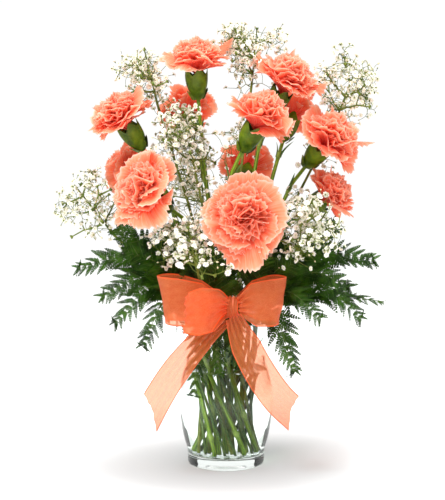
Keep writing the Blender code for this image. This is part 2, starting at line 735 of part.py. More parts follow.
def main():
    clear_scene()
    add_vase()
    lines = []
    obstacles = []
    for number, head in enumerate(HEADS):
        add_bloom(head, number)
        add_calyx(head)
        add_head_stem(head)
        route = head_stem_route(head)
        lines.append((route[0], route[1], STEM_DIAMETER / 2 / math.cos(math.pi / 6) + GAP))
        obstacles += [(a, b, STEM_DIAMETER / 2) for a, b in zip(route, route[1:])]
        middle = head_middle(head)
        obstacles.append((route[-1], head_base(head), BLOOM_THROAT_RADIUS + 4 * MM))
        obstacles.append((middle, middle, 0.57 * head.size * BLOOM_DIAMETER))
    for frond in FRONDS:
        add_frond(frond)
        petiole, _, blade = frond_route(frond)
        lines.append((petiole[0], petiole[1], PETIOLE_WIDTH * 0.62 / math.cos(math.pi / 6) + GAP))
        obstacles += [(a, b, 0.2 * FROND_WIDTH * frond.width) for a, b in zip(blade, blade[1:])]
    for number, spray in enumerate(SPRAYS):
        _, made = add_spray(spray, number, obstacles)
        obstacles += made
        foot = stem_foot(spray.ring, spray.place)
        slot = neck_slot(spray.ring, spray.place)
        lines.append((foot, slot, SPRAY_STEM_DIAMETER * 0.72 / math.cos(math.pi / 6) + GAP))
    add_bow()
    add_water(lines)


main()
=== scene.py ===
"""Carnations, baby's breath and fern in a clear vase, with an organza bow: looks on the CAD frame."""

import json
import math

import bpy
import numpy as np
from mathutils import Matrix, Vector

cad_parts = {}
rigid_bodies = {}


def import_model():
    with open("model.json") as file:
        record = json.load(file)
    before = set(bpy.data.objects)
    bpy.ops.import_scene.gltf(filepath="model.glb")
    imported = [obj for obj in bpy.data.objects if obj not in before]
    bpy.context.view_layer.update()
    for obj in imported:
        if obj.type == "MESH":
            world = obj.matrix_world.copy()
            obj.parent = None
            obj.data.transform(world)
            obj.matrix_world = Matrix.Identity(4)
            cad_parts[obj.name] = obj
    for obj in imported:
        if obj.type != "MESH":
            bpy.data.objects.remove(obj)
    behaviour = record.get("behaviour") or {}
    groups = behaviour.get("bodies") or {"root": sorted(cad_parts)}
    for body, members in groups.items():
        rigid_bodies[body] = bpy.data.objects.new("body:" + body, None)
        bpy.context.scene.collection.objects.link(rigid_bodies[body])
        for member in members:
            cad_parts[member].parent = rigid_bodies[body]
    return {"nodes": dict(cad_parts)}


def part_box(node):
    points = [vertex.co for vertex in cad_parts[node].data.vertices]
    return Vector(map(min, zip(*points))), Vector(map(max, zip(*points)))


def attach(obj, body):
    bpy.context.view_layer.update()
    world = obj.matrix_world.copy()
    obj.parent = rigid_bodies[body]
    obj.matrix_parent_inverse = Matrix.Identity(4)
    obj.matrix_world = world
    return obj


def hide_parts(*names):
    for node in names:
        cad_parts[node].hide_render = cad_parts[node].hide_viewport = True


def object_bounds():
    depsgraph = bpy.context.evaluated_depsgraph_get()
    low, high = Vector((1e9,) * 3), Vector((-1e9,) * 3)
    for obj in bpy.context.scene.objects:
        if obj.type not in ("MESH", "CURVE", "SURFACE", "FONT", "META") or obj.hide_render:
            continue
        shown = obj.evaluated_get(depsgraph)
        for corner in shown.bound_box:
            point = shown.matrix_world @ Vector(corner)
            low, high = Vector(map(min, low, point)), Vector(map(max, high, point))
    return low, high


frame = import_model()
CAD_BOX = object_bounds()

MM = 0.001
UP = Vector((0, 0, 1))
BODY = "root"

# Camera: level with the flowers, a little over a metre in front of the vase.
CAMERA_PLACE = Vector((-3.6, -1080, 290)) * MM
CAMERA_TARGET = Vector((-3.6, 0, 222.6)) * MM
CAMERA_VIEW_ANGLE = math.radians(27.0)

# Carnation petals
PETAL_RINGS = (
    # petals, angle from the axis at the edge, length share, ruffle share, fan share
    (5, 106, 1.08, 0.06, 0.96),
    (6, 92, 1.02, 0.09, 0.92),
    (7, 74, 0.98, 0.13, 0.88),
    (8, 56, 0.96, 0.17, 0.78),
    (9, 40, 0.97, 0.20, 0.66),
    (8, 25, 0.99, 0.21, 0.56),
    (7, 11, 0.98, 0.21, 0.48),
)
# Rings that lean out farther than this hold the guard petals, whose lengths vary more.
GUARD_TILT = 100
# Long guard petals that hang down from some blooms: the way each hangs, its length share and fan share.
HANGING_PETALS = {
    "front": (((0.05, 0, -1), 1.24, 0.62),),
    "front_left": (((0.8, 0, -1), 1.26, 0.66), ((-0.25, 0, -1), 1.16, 0.60)),
}
PETAL_ROWS = 9
PETAL_COLUMNS = 28
FAN_HALF_ANGLE = math.radians(50)
PETAL_LENGTH_SHARE = 1.12

# Carnation stems: their thickness as a share of what is traced on the CAD, joints left out.
STEM_SHARE = 0.88

# Baby's breath
FLOWER_RADIUS = 3.0 * MM
FLOWER_RINGS = ((7, 0.15, 1.0), (5, 0.75, 0.68))  # petals, lift, length share
SIDE_TWIG_HEIGHTS = (0.60, 0.67, 0.74, 0.80, 0.86, 0.93)
SIDE_TWIG_FLOWERS = {"babys_breath_top_centre": 24, "babys_breath_right": 22, "others": 11}
BUD_RADIUS = 0.9 * MM
BUD_SHARE = 0.22
TWIG_RADIUS = 0.26 * MM
MOUTH_HEIGHT = 160 * MM
BOX_OVERHANG = 5 * MM
# Balls in front of the bow that stay free of flowers: (middle in mm, radius in mm).
CLEAR_BALLS = (((-32, -84, 170), 48), ((32, -84, 170), 48))
# How far the flowers stand round each twig end, and how many there are at each.
SPRAY_FILL = {
    "babys_breath_middle": (22 * MM, 13),
    "babys_breath_low_front": (21 * MM, 12),
    "babys_breath_low_right": (20 * MM, 12),
    "babys_breath_back": (20 * MM, 11),
    "others": (17 * MM, 13),
}

# Fern
PINNA_PAIRS = 22
PINNULE_PAIRS = 12
PINNA_SHARE = 1.45
MIDRIB_STEPS = 60
# The smaller blades on each frond's stalk: tip, lift of the midrib and length of the side leaves, in mm.
SIDE_BLADES = {
    "fern_upper_left": (((-112, -20, 246), 14, 34), ((-150, -24, 206), 26, 30), ((-60, -46, 248), 6, 30)),
    "fern_lower_left": (((-100, -58, 226), 16, 34), ((-70, -52, 212), 10, 34), ((-122, -52, 180), 28, 30),
                        ((-110, -60, 154), 32, 28), ((-82, -66, 132), 32, 24)),
    "fern_front_droop": (((-40, -62, 226), 10, 32), ((-8, -64, 222), 10, 32), ((-34, -44, 246), 6, 30),
                         ((-32, -62, 82), 42, 20), ((-8, -62, 104), 40, 22), ((14, -60, 110), 38, 22),
                         ((8, -58, 226), 8, 30)),
    "fern_right_droop": (((38, -62, 220), 10, 32), ((66, -60, 214), 12, 32), ((92, -72, 160), 28, 26),
                         ((68, -60, 106), 34, 26)),
    "fern_lower_right": (((98, -56, 226), 16, 34), ((62, -46, 238), 10, 32), ((134, -54, 158), 30, 28),
                         ((120, -60, 190), 24, 30)),
    "fern_upper_right": (((112, -20, 250), 14, 34), ((30, -40, 244), 6, 30), ((150, -24, 214), 24, 30)),
    "fern_back_left": (((-60, 66, 246), 10, 34), ((-96, 40, 226), 16, 34), ((-20, 20, 240), 6, 34)),
    "fern_back_right": (((60, 66, 246), 10, 34), ((96, 40, 226), 16, 34), ((20, 20, 240), 6, 34)),
}

# Ribbon: each stretch's stations and its ripple in mm.
# A station is an offset from the knot in mm, the direction of the edge and a share of the width.
RIBBON_WIDTH = 47 * MM
EDGE_START = 0.94
BOW = (
    ("bow_left_loop", (
        ((-8, -3.5, 1), (0, 0, 1), 0.36),
        ((-34, -13, 4), (-0.05, 0, 1), 0.90),
        ((-58, -13, 7), (-0.12, 0, 1), 0.98),
        ((-67, -2, 8), (-0.12, 0, 1), 1.0),
        ((-58, 9, 9), (-0.10, 0, 1), 0.98),
        ((-34, 9, 6), (0, 0, 1), 0.85),
        ((-8, 3.5, 3), (0, 0, 1), 0.36),
    ), 0.8),
    ("bow_right_loop", (
        ((8, -3.5, 1), (0, 0, 1), 0.36),
        ((26, -13, 4), (0.05, 0, 1), 0.90),
        ((43, -13, 6), (0.14, 0, 1), 0.98),
        ((51, -3, 7), (0.14, 0, 1), 1.0),
        ((43, 8, 8), (0.10, 0, 1), 0.98),
        ((26, 8, 6), (0, 0, 1), 0.85),
        ((8, 3.5, 3), (0, 0, 1), 0.36),
    ), 0.8),
    ("bow_front_loop", (
        ((-3, -8.5, 2), (0.1, 0, 1), 0.34),
        ((-12, -19, 3), (0.1, 0, 1), 0.72),
        ((-24, -27, 0), (0.06, 0, 1), 0.94),
        ((-36, -26, -4), (0, 0, 1), 0.90),
        ((-43, -19, -6), (-0.1, 0, 1), 0.70),
        ((-36, -15, -7), (-0.1, 0, 1), 0.84),
        ((-20, -13, -4), (0, 0, 1), 0.80),
        ((-5, -8, -2), (0, 0, 1), 0.34),
    ), 1.6),
    ("bow_left_tail", (
        ((-5, -3, -12), (0.9, 0, -0.6), 0.28),
        ((-28, -8, -31), (0.85, 0, -0.62), 0.50),
        ((-50, -17, -56), (0.85, 0, -0.6), 0.58),
        ((-68, -18, -83), (0.9, 0, -0.45), 0.60),
        ((-84, -12, -114), (0.95, 0, -0.35), 0.60),
    ), 1.4),
    ("bow_right_tail", (
        ((3, -7.5, -9), (1, 0, 0.3), 0.34),
        ((14, -14, -34), (1, 0, 0.4), 0.62),
        ((29, -17, -62), (0.95, 0, 0.5), 0.66),
        ((47, -14, -88), (0.9, 0, 0.6), 0.68),
        ((68, -10, -108), (0.80, 0, 0.72), 0.70),
    ), 1.4),
)
# The shares of a tail's length that its end is cut back by on each edge and in the notch between.
TAIL_CUTS = {"bow_left_tail": (0.22, 0.0, 0.03), "bow_right_tail": (0.0, 0.14, 0.04)}

# Vase
VASE_SIDES = 128
FOOT_LIFT = 0.6 * MM
FOOT_HOLLOW_RADIUS = 24 * MM
FOOT_RING_RADIUS = 33 * MM
WATER_OVERLAP = 0.15 * MM
MENISCUS = ((1.2, 0.2), (0.4, -1.2), (0.0, -3.0))  # rise and distance out from the glass, in mm

# Greens: dark colour, light colour, roughness, share of the light let through
GREENS = {
    "calyx_green": ((0.024, 0.055, 0.002), (0.135, 0.210, 0.008), 0.40, 0.0),
    "carnation_leaf": ((0.06, 0.14, 0.03), (0.16, 0.28, 0.08), 0.5, 0.2),
    "babys_breath_twig": ((0.055, 0.085, 0.008), (0.190, 0.230, 0.040), 0.55, 0.0),
    "babys_breath_bud": ((0.45, 0.40, 0.22), (0.72, 0.68, 0.45), 0.6, 0.0),
    "fern_green": ((0.004, 0.020, 0.0006), (0.040, 0.120, 0.004), 0.45, 0.20),
    "fern_rib": ((0.03, 0.08, 0.01), (0.09, 0.14, 0.03), 0.45, 0.0),
    "pick_green": ((0.02, 0.08, 0.02), (0.04, 0.14, 0.04), 0.5, 0.0),
}

# Stage, in metres: the lights as (name, place, size, power), and the ends of a dark card as (side, depth)
FLOOR_HALF_WIDTH = 6.0
CARD_INNER_END = (0.33, 0.50)
CARD_OUTER_END = (0.56, 0.10)
CARD_HEIGHTS = (0.01, 0.80)
LIGHTS = (("key", (-0.9, -1.3, 1.6), 0.9, 36), ("top", (0.1, 0.1, 1.9), 0.8, 24))
LIGHT_TARGET = Vector((0, 0, 0.25))


# ---------------------------------------------------------------- reading the frame


def cad_arrays(node):
    """A CAD node's vertices and triangles."""
    mesh = bpy.data.objects[node].data
    points = np.empty(len(mesh.vertices) * 3)
    mesh.vertices.foreach_get("co", points)
    mesh.calc_loop_triangles()
    faces = np.empty(len(mesh.loop_triangles) * 3, np.int64)
    mesh.loop_triangles.foreach_get("vertices", faces)
    places, index = np.unique(points.reshape(-1, 3).round(6), axis=0, return_inverse=True)
    return places, index.reshape(-1)[faces.reshape(-1, 3)]


def cut_across(points, faces, place, direction):
    """Where a plane cuts a solid: the points of the cut outline whose middle comes nearest to the place."""
    side = (points - place) @ direction
    above = side[faces] > 0
    crossed = np.flatnonzero(above.any(1) & ~above.all(1))
    cuts, by_edge, by_face = {}, {}, {}
    for face in crossed:
        ring = faces[face]
        for a, b in ((ring[0], ring[1]), (ring[1], ring[2]), (ring[2], ring[0])):
            if (side[a] > 0) != (side[b] > 0):
                key = (min(a, b), max(a, b))
                share = side[key[0]] / (side[key[0]] - side[key[1]])
                cuts[key] = points[key[0]] + share * (points[key[1]] - points[key[0]])
                by_edge.setdefault(key, []).append(face)
                by_face.setdefault(face, []).append(key)
    outlines = []
    while cuts:
        key, spot = cuts.popitem()
        outline, waiting = [spot], [key]
        while waiting:
            for face in by_edge[waiting.pop()]:
                for other in by_face[face]:
                    if other in cuts:
                        outline.append(cuts.pop(other))
                        waiting.append(other)
        outlines.append(np.array(outline))
    middles = [(outline.max(0) + outline.min(0)) / 2 for outline in outlines]
    gaps = [np.linalg.norm(middle - place) for middle in middles]
    return outlines[int(np.argmin(gaps))] if gaps else None


def widest(outline):
    """A cut outline's middle, the direction in which it is widest, and half its width that way."""
    spread = outline - outline.mean(0)
    wide = np.linalg.svd(spread, full_matrices=False)[2][0]
    along = spread @ wide
    return outline.mean(0) + wide * (along.max() + along.min()) / 2, wide, (along.max() - along.min()) / 2


def trace(node, start, direction, step):
    """Follows a long thin CAD solid from one end: a list of (middle, half width)."""
    points, faces = cad_arrays(node)
    place, heading = np.array(start), np.array(direction) / np.linalg.norm(direction)
    found = []
    for _ in range(400):
        outline = cut_across(points, faces, place + heading * step, heading)
        if outline is None:
            break
        centre, _, half = widest(outline)
        ahead = centre - place
        if np.linalg.norm(ahead) > 3 * step and found:
            break
        found.append((Vector(centre), half))
        heading = 0.5 * heading + 0.5 * ahead / np.linalg.norm(ahead)
        heading /= np.linalg.norm(heading)
        place = centre
    return found


def lowest_point(node):
    """The middle of a CAD solid's lowest half millimetre or so."""
    points, _ = cad_arrays(node)
    low = points[points[:, 2] < points[:, 2].min() + 0.6 * MM]
    return Vector(low.mean(0))


def twig_ends(node):
    """The ends of a branching CAD solid, each with its heading.

    An end is farther along the solid from its foot than all that is near it.
    """
    points, faces = cad_arrays(node)
    edges = np.concatenate([faces[:, [0, 1]], faces[:, [1, 2]], faces[:, [2, 0]]])
    lengths = np.linalg.norm(points[edges[:, 0]] - points[edges[:, 1]], axis=1)
    far = np.full(len(points), np.inf)
    far[points[:, 2].argmin()] = 0
    for _ in range(len(points)):
        nearer = far.copy()
        np.minimum.at(nearer, edges[:, 0], far[edges[:, 1]] + lengths)
        np.minimum.at(nearer, edges[:, 1], far[edges[:, 0]] + lengths)
        if np.allclose(nearer, far):
            break
        far = nearer
    ends = []
    for i in far.argsort()[::-1]:
        place = points[i]
        if any((Vector(place) - end).length < 6 * MM for end, _ in ends):
            continue
        away = np.linalg.norm(points - place, axis=1)
        if far[away < 6 * MM].max() <= far[i] + 1e-6:
            end = points[(away < 5 * MM) & (far > far[i] - 4 * MM)].mean(0)
            back = points[(away < 14 * MM) & (far < far[i] - 4 * MM) & (far > far[i] - 14 * MM)]
            if len(back):
                ends.append((Vector(end), (Vector(end) - Vector(back.mean(0))).normalized()))
    return ends


# ---------------------------------------------------------------- making meshes


class Builder:
    """Collects points, each with a mark that the materials read, and faces, each with a material slot."""

    def __init__(self):
        self.points, self.faces, self.marks, self.slots = [], [], [], []

    def add(self, points, faces, marks=None, slot=0):
        first = len(self.points)
        self.points += [tuple(p) for p in points]
        self.marks += [tuple(m) for m in (marks or [(0, 0, 0)] * len(points))]
        self.faces += [tuple(first + i for i in face) for face in faces]
        self.slots += [slot] * len(faces)

    def finish(self, name, materials, record_slot, replaced=(), smooth=True):
        mesh = bpy.data.meshes.new(name)
        mesh.from_pydata(self.points, [], self.faces)
        for made in materials:
            mesh.materials.append(made)
        mesh.polygons.foreach_set("material_index", self.slots)
        if smooth:
            mesh.shade_smooth()
        mark = mesh.attributes.new("mark", "FLOAT_VECTOR", "POINT")
        mark.data.foreach_set("vector", np.array(self.marks, dtype=np.float32).reshape(-1))
        mesh.validate()
        piece = bpy.data.objects.new(name, mesh)
        bpy.context.scene.collection.objects.link(piece)
        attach(piece, BODY)
        if replaced:
            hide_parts(*replaced)
        return piece


def grid_faces(rows, columns):
    """The faces of an open sheet of points, row by row."""
    faces = []
    for i in range(rows - 1):
        for j in range(columns - 1):
            a = i * columns + j
            faces.append((a, a + 1, a + columns + 1, a + columns))
    return faces


def tube_faces(rows, sides):
    """The faces between closed rings of points, ring by ring."""
    faces = []
    for i in range(rows - 1):
        for k in range(sides):
            j = (k + 1) % sides
            faces.append((i * sides + k, i * sides + j, (i + 1) * sides + j, (i + 1) * sides + k))
    return faces


def smooth_curve(points, count):
    """A Catmull-Rom curve through the points, with count points spread evenly along it."""
    knots = [2 * points[0] - points[1], *points, 2 * points[-1] - points[-2]]
    fine = []
    for a, b, c, d in zip(knots, knots[1:], knots[2:], knots[3:]):
        for i in range(8):
            t = i / 8
            fine.append(0.5 * (2 * b + (c - a) * t + (2 * a - 5 * b + 4 * c - d) * t**2
                               + (3 * b - a - 3 * c + d) * t**3))
    fine.append(points[-1])
    lengths = np.cumsum([0.0] + [(b - a).length for a, b in zip(fine, fine[1:])])
    spots = np.linspace(0, lengths[-1], count)
    columns = [np.interp(spots, lengths, [p[axis] for p in fine]) for axis in range(3)]
    return [Vector(values) for values in zip(*columns)]


def add_tube(builder, route, radii, sides, slot=0, close=True):
    """A round tube along a route, with its own radius at each point."""
    across = None
    points, marks = [], []
    for i, place in enumerate(route):
        along = (route[min(i + 1, len(route) - 1)] - route[max(i - 1, 0)]).normalized()
        if across is None:
            across = along.orthogonal().normalized()
        across = (across - along * across.dot(along)).normalized()
        other = along.cross(across)
        for k in range(sides):
            angle = math.tau * k / sides
            points.append(place + (across * math.cos(angle) + other * math.sin(angle)) * radii[i])
            marks.append((i / (len(route) - 1), k / sides, 0))
    faces = tube_faces(len(route), sides)
    if close:
        faces.append(tuple(reversed(range(sides))))
        faces.append(tuple(range(len(points) - sides, len(points))))
    builder.add(points, faces, marks, slot)


# ---------------------------------------------------------------- materials


class Nodes:
    """A material's node tree, with short ways to add and link nodes."""

    def __init__(self, name):
        self.material = bpy.data.materials.new(name)
        self.material.use_nodes = True
        self.tree = self.material.node_tree
        self.shader = self.tree.nodes["Principled BSDF"]
        self.output = self.tree.nodes["Material Output"]

    def node(self, kind, **settings):
        made = self.tree.nodes.new(kind)
        for key, value in settings.items():
            setattr(made, key, value)
        return made

    def link(self, source, target):
        self.tree.links.new(source, target)

    def feed(self, value, target):
        """Gives an input a plain value or another node's output."""
        if isinstance(value, bpy.types.NodeSocket):
            self.link(value, target)
        else:
            target.default_value = value

    def set(self, **values):
        """Sets inputs of the main shader, named with _ for each space."""
        for key, value in values.items():
            self.shader.inputs[key.replace("_", " ")].default_value = value

    def noise(self, scale, detail=3.0, vector=None):
        """Noise over the object's own places, or over another vector."""
        made = self.node("ShaderNodeTexNoise")
        made.inputs["Scale"].default_value = scale
        made.inputs["Detail"].default_value = detail
        self.link(vector or self.node("ShaderNodeTexCoord").outputs["Object"], made.inputs["Vector"])
        return made.outputs["Fac"]

    def mark(self):
        """The points' marks, whole and as three parts."""
        made = self.node("ShaderNodeAttribute", attribute_name="mark")
        parts = self.node("ShaderNodeSeparateXYZ")
        self.link(made.outputs["Vector"], parts.inputs["Vector"])
        return made.outputs["Vector"], parts.outputs

    def scaled(self, vector, scale):
        made = self.node("ShaderNodeVectorMath", operation="MULTIPLY")
        self.link(vector, made.inputs[0])
        made.inputs[1].default_value = scale
        return made.outputs["Vector"]

    def ramp(self, value, *stops):
        made = self.node("ShaderNodeValToRGB")
        elements = made.color_ramp.elements
        while len(elements) < len(stops):
            elements.new(0.5)
        for element, (place, colour) in zip(elements, stops):
            element.position = place
            element.color = (*colour, 1.0)
        self.link(value, made.inputs["Fac"])
        return made.outputs["Color"]

    def greys(self, value, *stops):
        """A ramp between plain shares."""
        return self.ramp(value, *((place, (tone,) * 3) for place, tone in stops))

    def mix(self, share, first, second):
        """Two colours mixed."""
        made = self.node("ShaderNodeMix", data_type="RGBA")
        self.feed(share, made.inputs[0])
        self.feed(first, made.inputs[6])
        self.feed(second, made.inputs[7])
        return made.outputs[2]

    def blend(self, share, first, second):
        """Two shaders mixed."""
        made = self.node("ShaderNodeMixShader")
        self.feed(share, made.inputs[0])
        self.link(first, made.inputs[1])
        self.link(second, made.inputs[2])
        return made.outputs[0]

    def simple(self, kind, colour):
        """A shader that has only a colour."""
        made = self.node(kind)
        self.feed(colour, made.inputs["Color"])
        return made.outputs[0]

    def surface(self, shader):
        self.link(shader, self.output.inputs["Surface"])

    def colour(self, source):
        self.link(source, self.shader.inputs["Base Color"])

    def bump(self, height, strength, distance):
        made = self.node("ShaderNodeBump")
        made.inputs["Strength"].default_value = strength
        made.inputs["Distance"].default_value = distance
        self.link(height, made.inputs["Height"])
        self.link(made.outputs["Normal"], self.shader.inputs["Normal"])

    def translucent(self, colour, share):
        """Lets part of the light through a thin leaf or petal."""
        through = self.simple("ShaderNodeBsdfTranslucent", colour)
        self.surface(self.blend(share, self.shader.outputs[0], through))


def petal_material():
    """Coral petals: deep red-orange low down, which is painted shade and painted glow of light bounced among
    the petals, coral over the blade, and paler towards the toothed edge, partly the petal's own pale rim and
    partly a painted highlight.
    """
    m = Nodes("carnation_petal")
    vector, parts = m.mark()
    veins = m.noise(1.0, 4.0, m.scaled(vector, (2.0, 26.0, 40.0)))
    patches = m.noise(60.0, 2.0)
    # Along the petal: the deep red-orange towards the claw is painted shade and painted bounced glow deep in
    # the bloom; the palest rim is partly the petal's own colour and partly a painted highlight.
    body = m.ramp(
        parts["X"],
        (0.34, (1.00, 0.038, 0.010)),
        (0.62, (1.00, 0.125, 0.045)),
        (0.84, (1.00, 0.270, 0.125)),
        (0.95, (1.00, 0.400, 0.225)),
        (1.00, (1.00, 0.720, 0.580)),
    )
    pale = m.greys(veins, (0.42, 0.0), (0.72, 0.55))
    body = m.mix(pale, body, (1.0, 0.60, 0.46, 1.0))
    deep = m.greys(patches, (0.40, 0.25), (0.62, 0.0))
    body = m.mix(deep, body, (1.0, 0.16, 0.06, 1.0))
    m.colour(body)
    m.set(Roughness=0.62, Specular_IOR_Level=0.15, Sheen_Weight=0.15)
    m.bump(veins, 0.35, 0.4 * MM)
    m.translucent(body, 0.45)
    return m.material


def leaf_material(name):
    """A green plant surface: two greens mottled together, with fine veins and a satin shine."""
    dark, light, rough, through = GREENS[name]
    m = Nodes(name)
    fine = m.noise(660.0, 2.0)
    body = m.ramp(m.noise(77.0), (0.35, dark), (0.68, light))
    body = m.mix(m.greys(fine, (0.5, 0.0), (0.8, 0.35)), body, (*light, 1.0))
    m.colour(body)
    m.set(Roughness=rough, Specular_IOR_Level=0.2)
    m.bump(fine, 0.3, 0.25 * MM)
    if through:
        m.translucent(body, through)
    return m.material


def stem_material():
    """Carnation stems: waxy green, paler at the joints."""
    m = Nodes("carnation_stem")
    vector, parts = m.mark()
    streaks = m.noise(1.0, 3.0, m.scaled(vector, (6.0, 9.0, 5.0)))
    body = m.ramp(streaks, (0.35, (0.040, 0.110, 0.003)), (0.70, (0.250, 0.390, 0.026)))
    body = m.mix(parts["Z"], body, (0.30, 0.42, 0.09, 1.0))
    m.colour(body)
    m.set(Roughness=0.45, Specular_IOR_Level=0.3)
    m.bump(streaks, 0.3, 0.3 * MM)
    return m.material


def tiny_flower_material():
    """Cream-white petals of baby's breath, with a little warmth and green towards their base."""
    m = Nodes("babys_breath_flower")
    _, parts = m.mark()
    body = m.ramp(
        parts["X"],
        (0.10, (0.62, 0.66, 0.30)),
        (0.42, (0.92, 0.92, 0.78)),
        (0.90, (0.98, 0.97, 0.93)),
    )
    warm = m.greys(parts["Z"], (0.55, 0.0), (0.95, 0.45))
    body = m.mix(warm, body, (0.80, 0.66, 0.52, 1.0))
    specks = m.greys(m.noise(900.0), (0.45, 0.0), (0.75, 0.3))
    body = m.mix(specks, body, (0.86, 0.88, 0.74, 1.0))
    m.colour(body)
    m.set(Roughness=0.7)
    m.translucent(body, 0.25)
    return m.material


def ribbon_material():
    """Sheer organza: things behind show through the weave, the threads shimmer, the edges are denser."""
    m = Nodes("organza_ribbon")
    vector, parts = m.mark()
    mottle = m.noise(1.0, 4.0, m.scaled(vector, (7.0, 5.0, 0.0)))
    grain = m.noise(1.0, 2.0, m.scaled(vector, (70.0, 40.0, 0.0)))
    edge = m.greys(parts["Z"], (0.02, 0.0), (0.35, 1.0))
    body = m.ramp(mottle, (0.3, (0.90, 0.170, 0.030)), (0.7, (0.98, 0.260, 0.065)))
    body = m.mix(m.greys(grain, (0.45, 0.0), (0.8, 0.5)), body, (1.0, 0.46, 0.22, 1.0))
    body = m.mix(edge, body, (0.90, 0.110, 0.008, 1.0))
    m.colour(body)
    m.set(Roughness=0.38, Sheen_Weight=0.3, Specular_IOR_Level=0.5)
    m.bump(grain, 0.25, 0.15 * MM)
    cloth = m.blend(0.45, m.shader.outputs[0], m.simple("ShaderNodeBsdfTranslucent", body))
    gaps = m.simple("ShaderNodeBsdfTransparent", (0.97, 0.54, 0.42, 1.0))
    openness = m.mix(edge, m.greys(grain, (0.3, 0.66), (0.7, 0.38)), (0.04, 0.04, 0.04, 1.0))
    m.surface(m.blend(openness, cloth, gaps))
    return m.material


def glass_material(name, ior, tint, ripple, shine):
    """Clear glass or water: light bends through it, and its own shadow stays light."""
    m = Nodes(name)
    m.set(Roughness=0.0, IOR=ior, Base_Color=(*tint, 1.0), Transmission_Weight=1.0)
    m.set(Specular_Tint=(shine, shine, shine, 1.0))
    m.bump(m.noise(35.0, 2.0), ripple, 0.4 * MM)
    clear = m.simple("ShaderNodeBsdfTransparent", (*tint, 1.0))
    shadow = m.node("ShaderNodeLightPath").outputs["Is Shadow Ray"]
    m.surface(m.blend(shadow, m.shader.outputs[0], clear))
    return m.material


# ---------------------------------------------------------------- vase and water


def vase_rings():
    """The CAD vase's outer and inner outlines, as (height, radius) from the foot and the floor up."""
    points, _ = cad_arrays("vase")
    rings = {}
    for x, y, z in points:
        rings.setdefault(round(z, 5), set()).add(round(math.hypot(x, y), 5))
    floor = min(z for z, radii in rings.items() if z > 5 * MM and min(radii) < MM)
    outer = [(z, max(radii)) for z, radii in sorted(rings.items()) if z < floor or len(radii) > 1 or z > 0.1]
    outer = [(z, radius) for z, radius in outer if radius > 20 * MM and not floor <= z < floor + 0.5 * MM]
    inner = [(z, min(radii)) for z, radii in sorted(rings.items()) if z >= floor]
    return outer, inner


def through(outline, count):
    """A smooth line through (height, radius) points."""
    line = smooth_curve([Vector((radius, 0, z)) for z, radius in outline], count)
    return [(p.z, p.x) for p in line]


def turned(profile):
    """A surface of revolution from (height, radius) points; a point with no radius closes it on the axis."""
    points, faces, rows = [], [], []
    for height, radius in profile:
        if radius < 1e-6:
            rows.append([len(points)])
            points.append((0, 0, height))
            continue
        rows.append(list(range(len(points), len(points) + VASE_SIDES)))
        for k in range(VASE_SIDES):
            angle = math.tau * k / VASE_SIDES
            points.append((radius * math.cos(angle), radius * math.sin(angle), height))
    for low, high in zip(rows, rows[1:]):
        for k in range(VASE_SIDES):
            j = (k + 1) % VASE_SIDES
            ring = (low[k % len(low)], low[j % len(low)], high[j % len(high)], high[k % len(high)])
            faces.append(tuple(dict.fromkeys(ring)))
    builder = Builder()
    builder.add(points, faces)
    return builder


def add_vase():
    """The glass: its outside from the foot up, over the rounded lip, and its inside down to the floor."""
    outer, inner = vase_rings()
    profile = [(FOOT_LIFT, 0.0), (FOOT_LIFT, FOOT_HOLLOW_RADIUS)]
    profile += through([(0.0, FOOT_RING_RADIUS), *outer[:-1]], 70)
    lip_height, lip_outer = outer[-2]
    lip_inner = inner[-2][1]
    middle = (lip_outer + lip_inner) / 2
    half = (lip_outer - lip_inner) / 2
    for step in range(1, 8):
        angle = math.pi * step / 8
        profile.append((lip_height + half * math.sin(angle), middle + half * math.cos(angle)))
    down = through(inner[:-1], 70)
    profile += [(z, radius) for z, radius in reversed(down) if radius > 1e-5]
    profile.append((down[0][0], 0.0))
    glass = glass_material("clear_glass", 1.50, (0.930, 0.972, 0.948), 0.02, 0.35)
    turned(profile).finish("vase_glass", [glass], "clear_glass", ["vase"])


def add_water():
    """The water fills the glass to the CAD water's level, a hair into the glass so that no air gap shows."""
    _, inner = vase_rings()
    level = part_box("water")[1][2]
    line = [(z, radius) for z, radius in through(inner[:-1], 90) if z < level]
    profile = [(line[0][0] - WATER_OVERLAP, 0.0)]
    profile += [(z - WATER_OVERLAP, radius + WATER_OVERLAP) for z, radius in line if radius > 1e-5]
    edge = profile[-1][1]
    profile += [(level + rise * MM, edge + out * MM) for rise, out in MENISCUS]
    profile.append((level, 0.0))
    water = glass_material("water", 1.33, (0.985, 0.995, 0.985), 0.01, 0.10)
    turned(profile).finish("water_body", [water], "water", ["water"])


# ---------------------------------------------------------------- carnations


def head_names():
    return sorted(name[: -len("_bloom")] for name in frame["nodes"] if name.endswith("_bloom"))


def nodes_named(start):
    return sorted(name for name in frame["nodes"] if name.startswith(start))


def head_frame(head):
    """The bloom's base, axis, radius and height, read from its CAD solid and calyx."""
    bloom, _ = cad_arrays(f"{head}_bloom")
    calyx, _ = cad_arrays(f"{head}_calyx")
    axis = Vector(bloom.mean(0) - calyx.mean(0)).normalized()
    along = bloom @ np.array(axis)
    middle = Vector(bloom.mean(0))
    base = middle + axis * (along.min() - middle.dot(axis))
    flat = bloom - np.outer(along, np.array(axis))
    radius = np.linalg.norm(flat - flat.mean(0), axis=1).max()
    return base, axis, radius, along.max() - along.min()


def frame_matrix(base, axis):
    """Moves things modelled upright at the origin onto a flower head."""
    return Matrix.Translation(base) @ UP.rotation_difference(axis).to_matrix().to_4x4()


def petal_midrib(start_angle, end_angle, curl, length):
    """A petal's midrib, row by row: its share, angle, run along the petal, distance out and height."""
    spots = np.linspace(0, 1, PETAL_ROWS) ** 0.8
    angles = start_angle + (end_angle - start_angle) * spots**1.1 + curl * spots**3
    runs = spots * length
    out = np.concatenate([[0], np.cumsum(np.sin(angles[1:]) * np.diff(runs))])
    rise = np.concatenate([[0], np.cumsum(np.cos(angles[1:]) * np.diff(runs))])
    return zip(spots, angles, runs, out, rise)


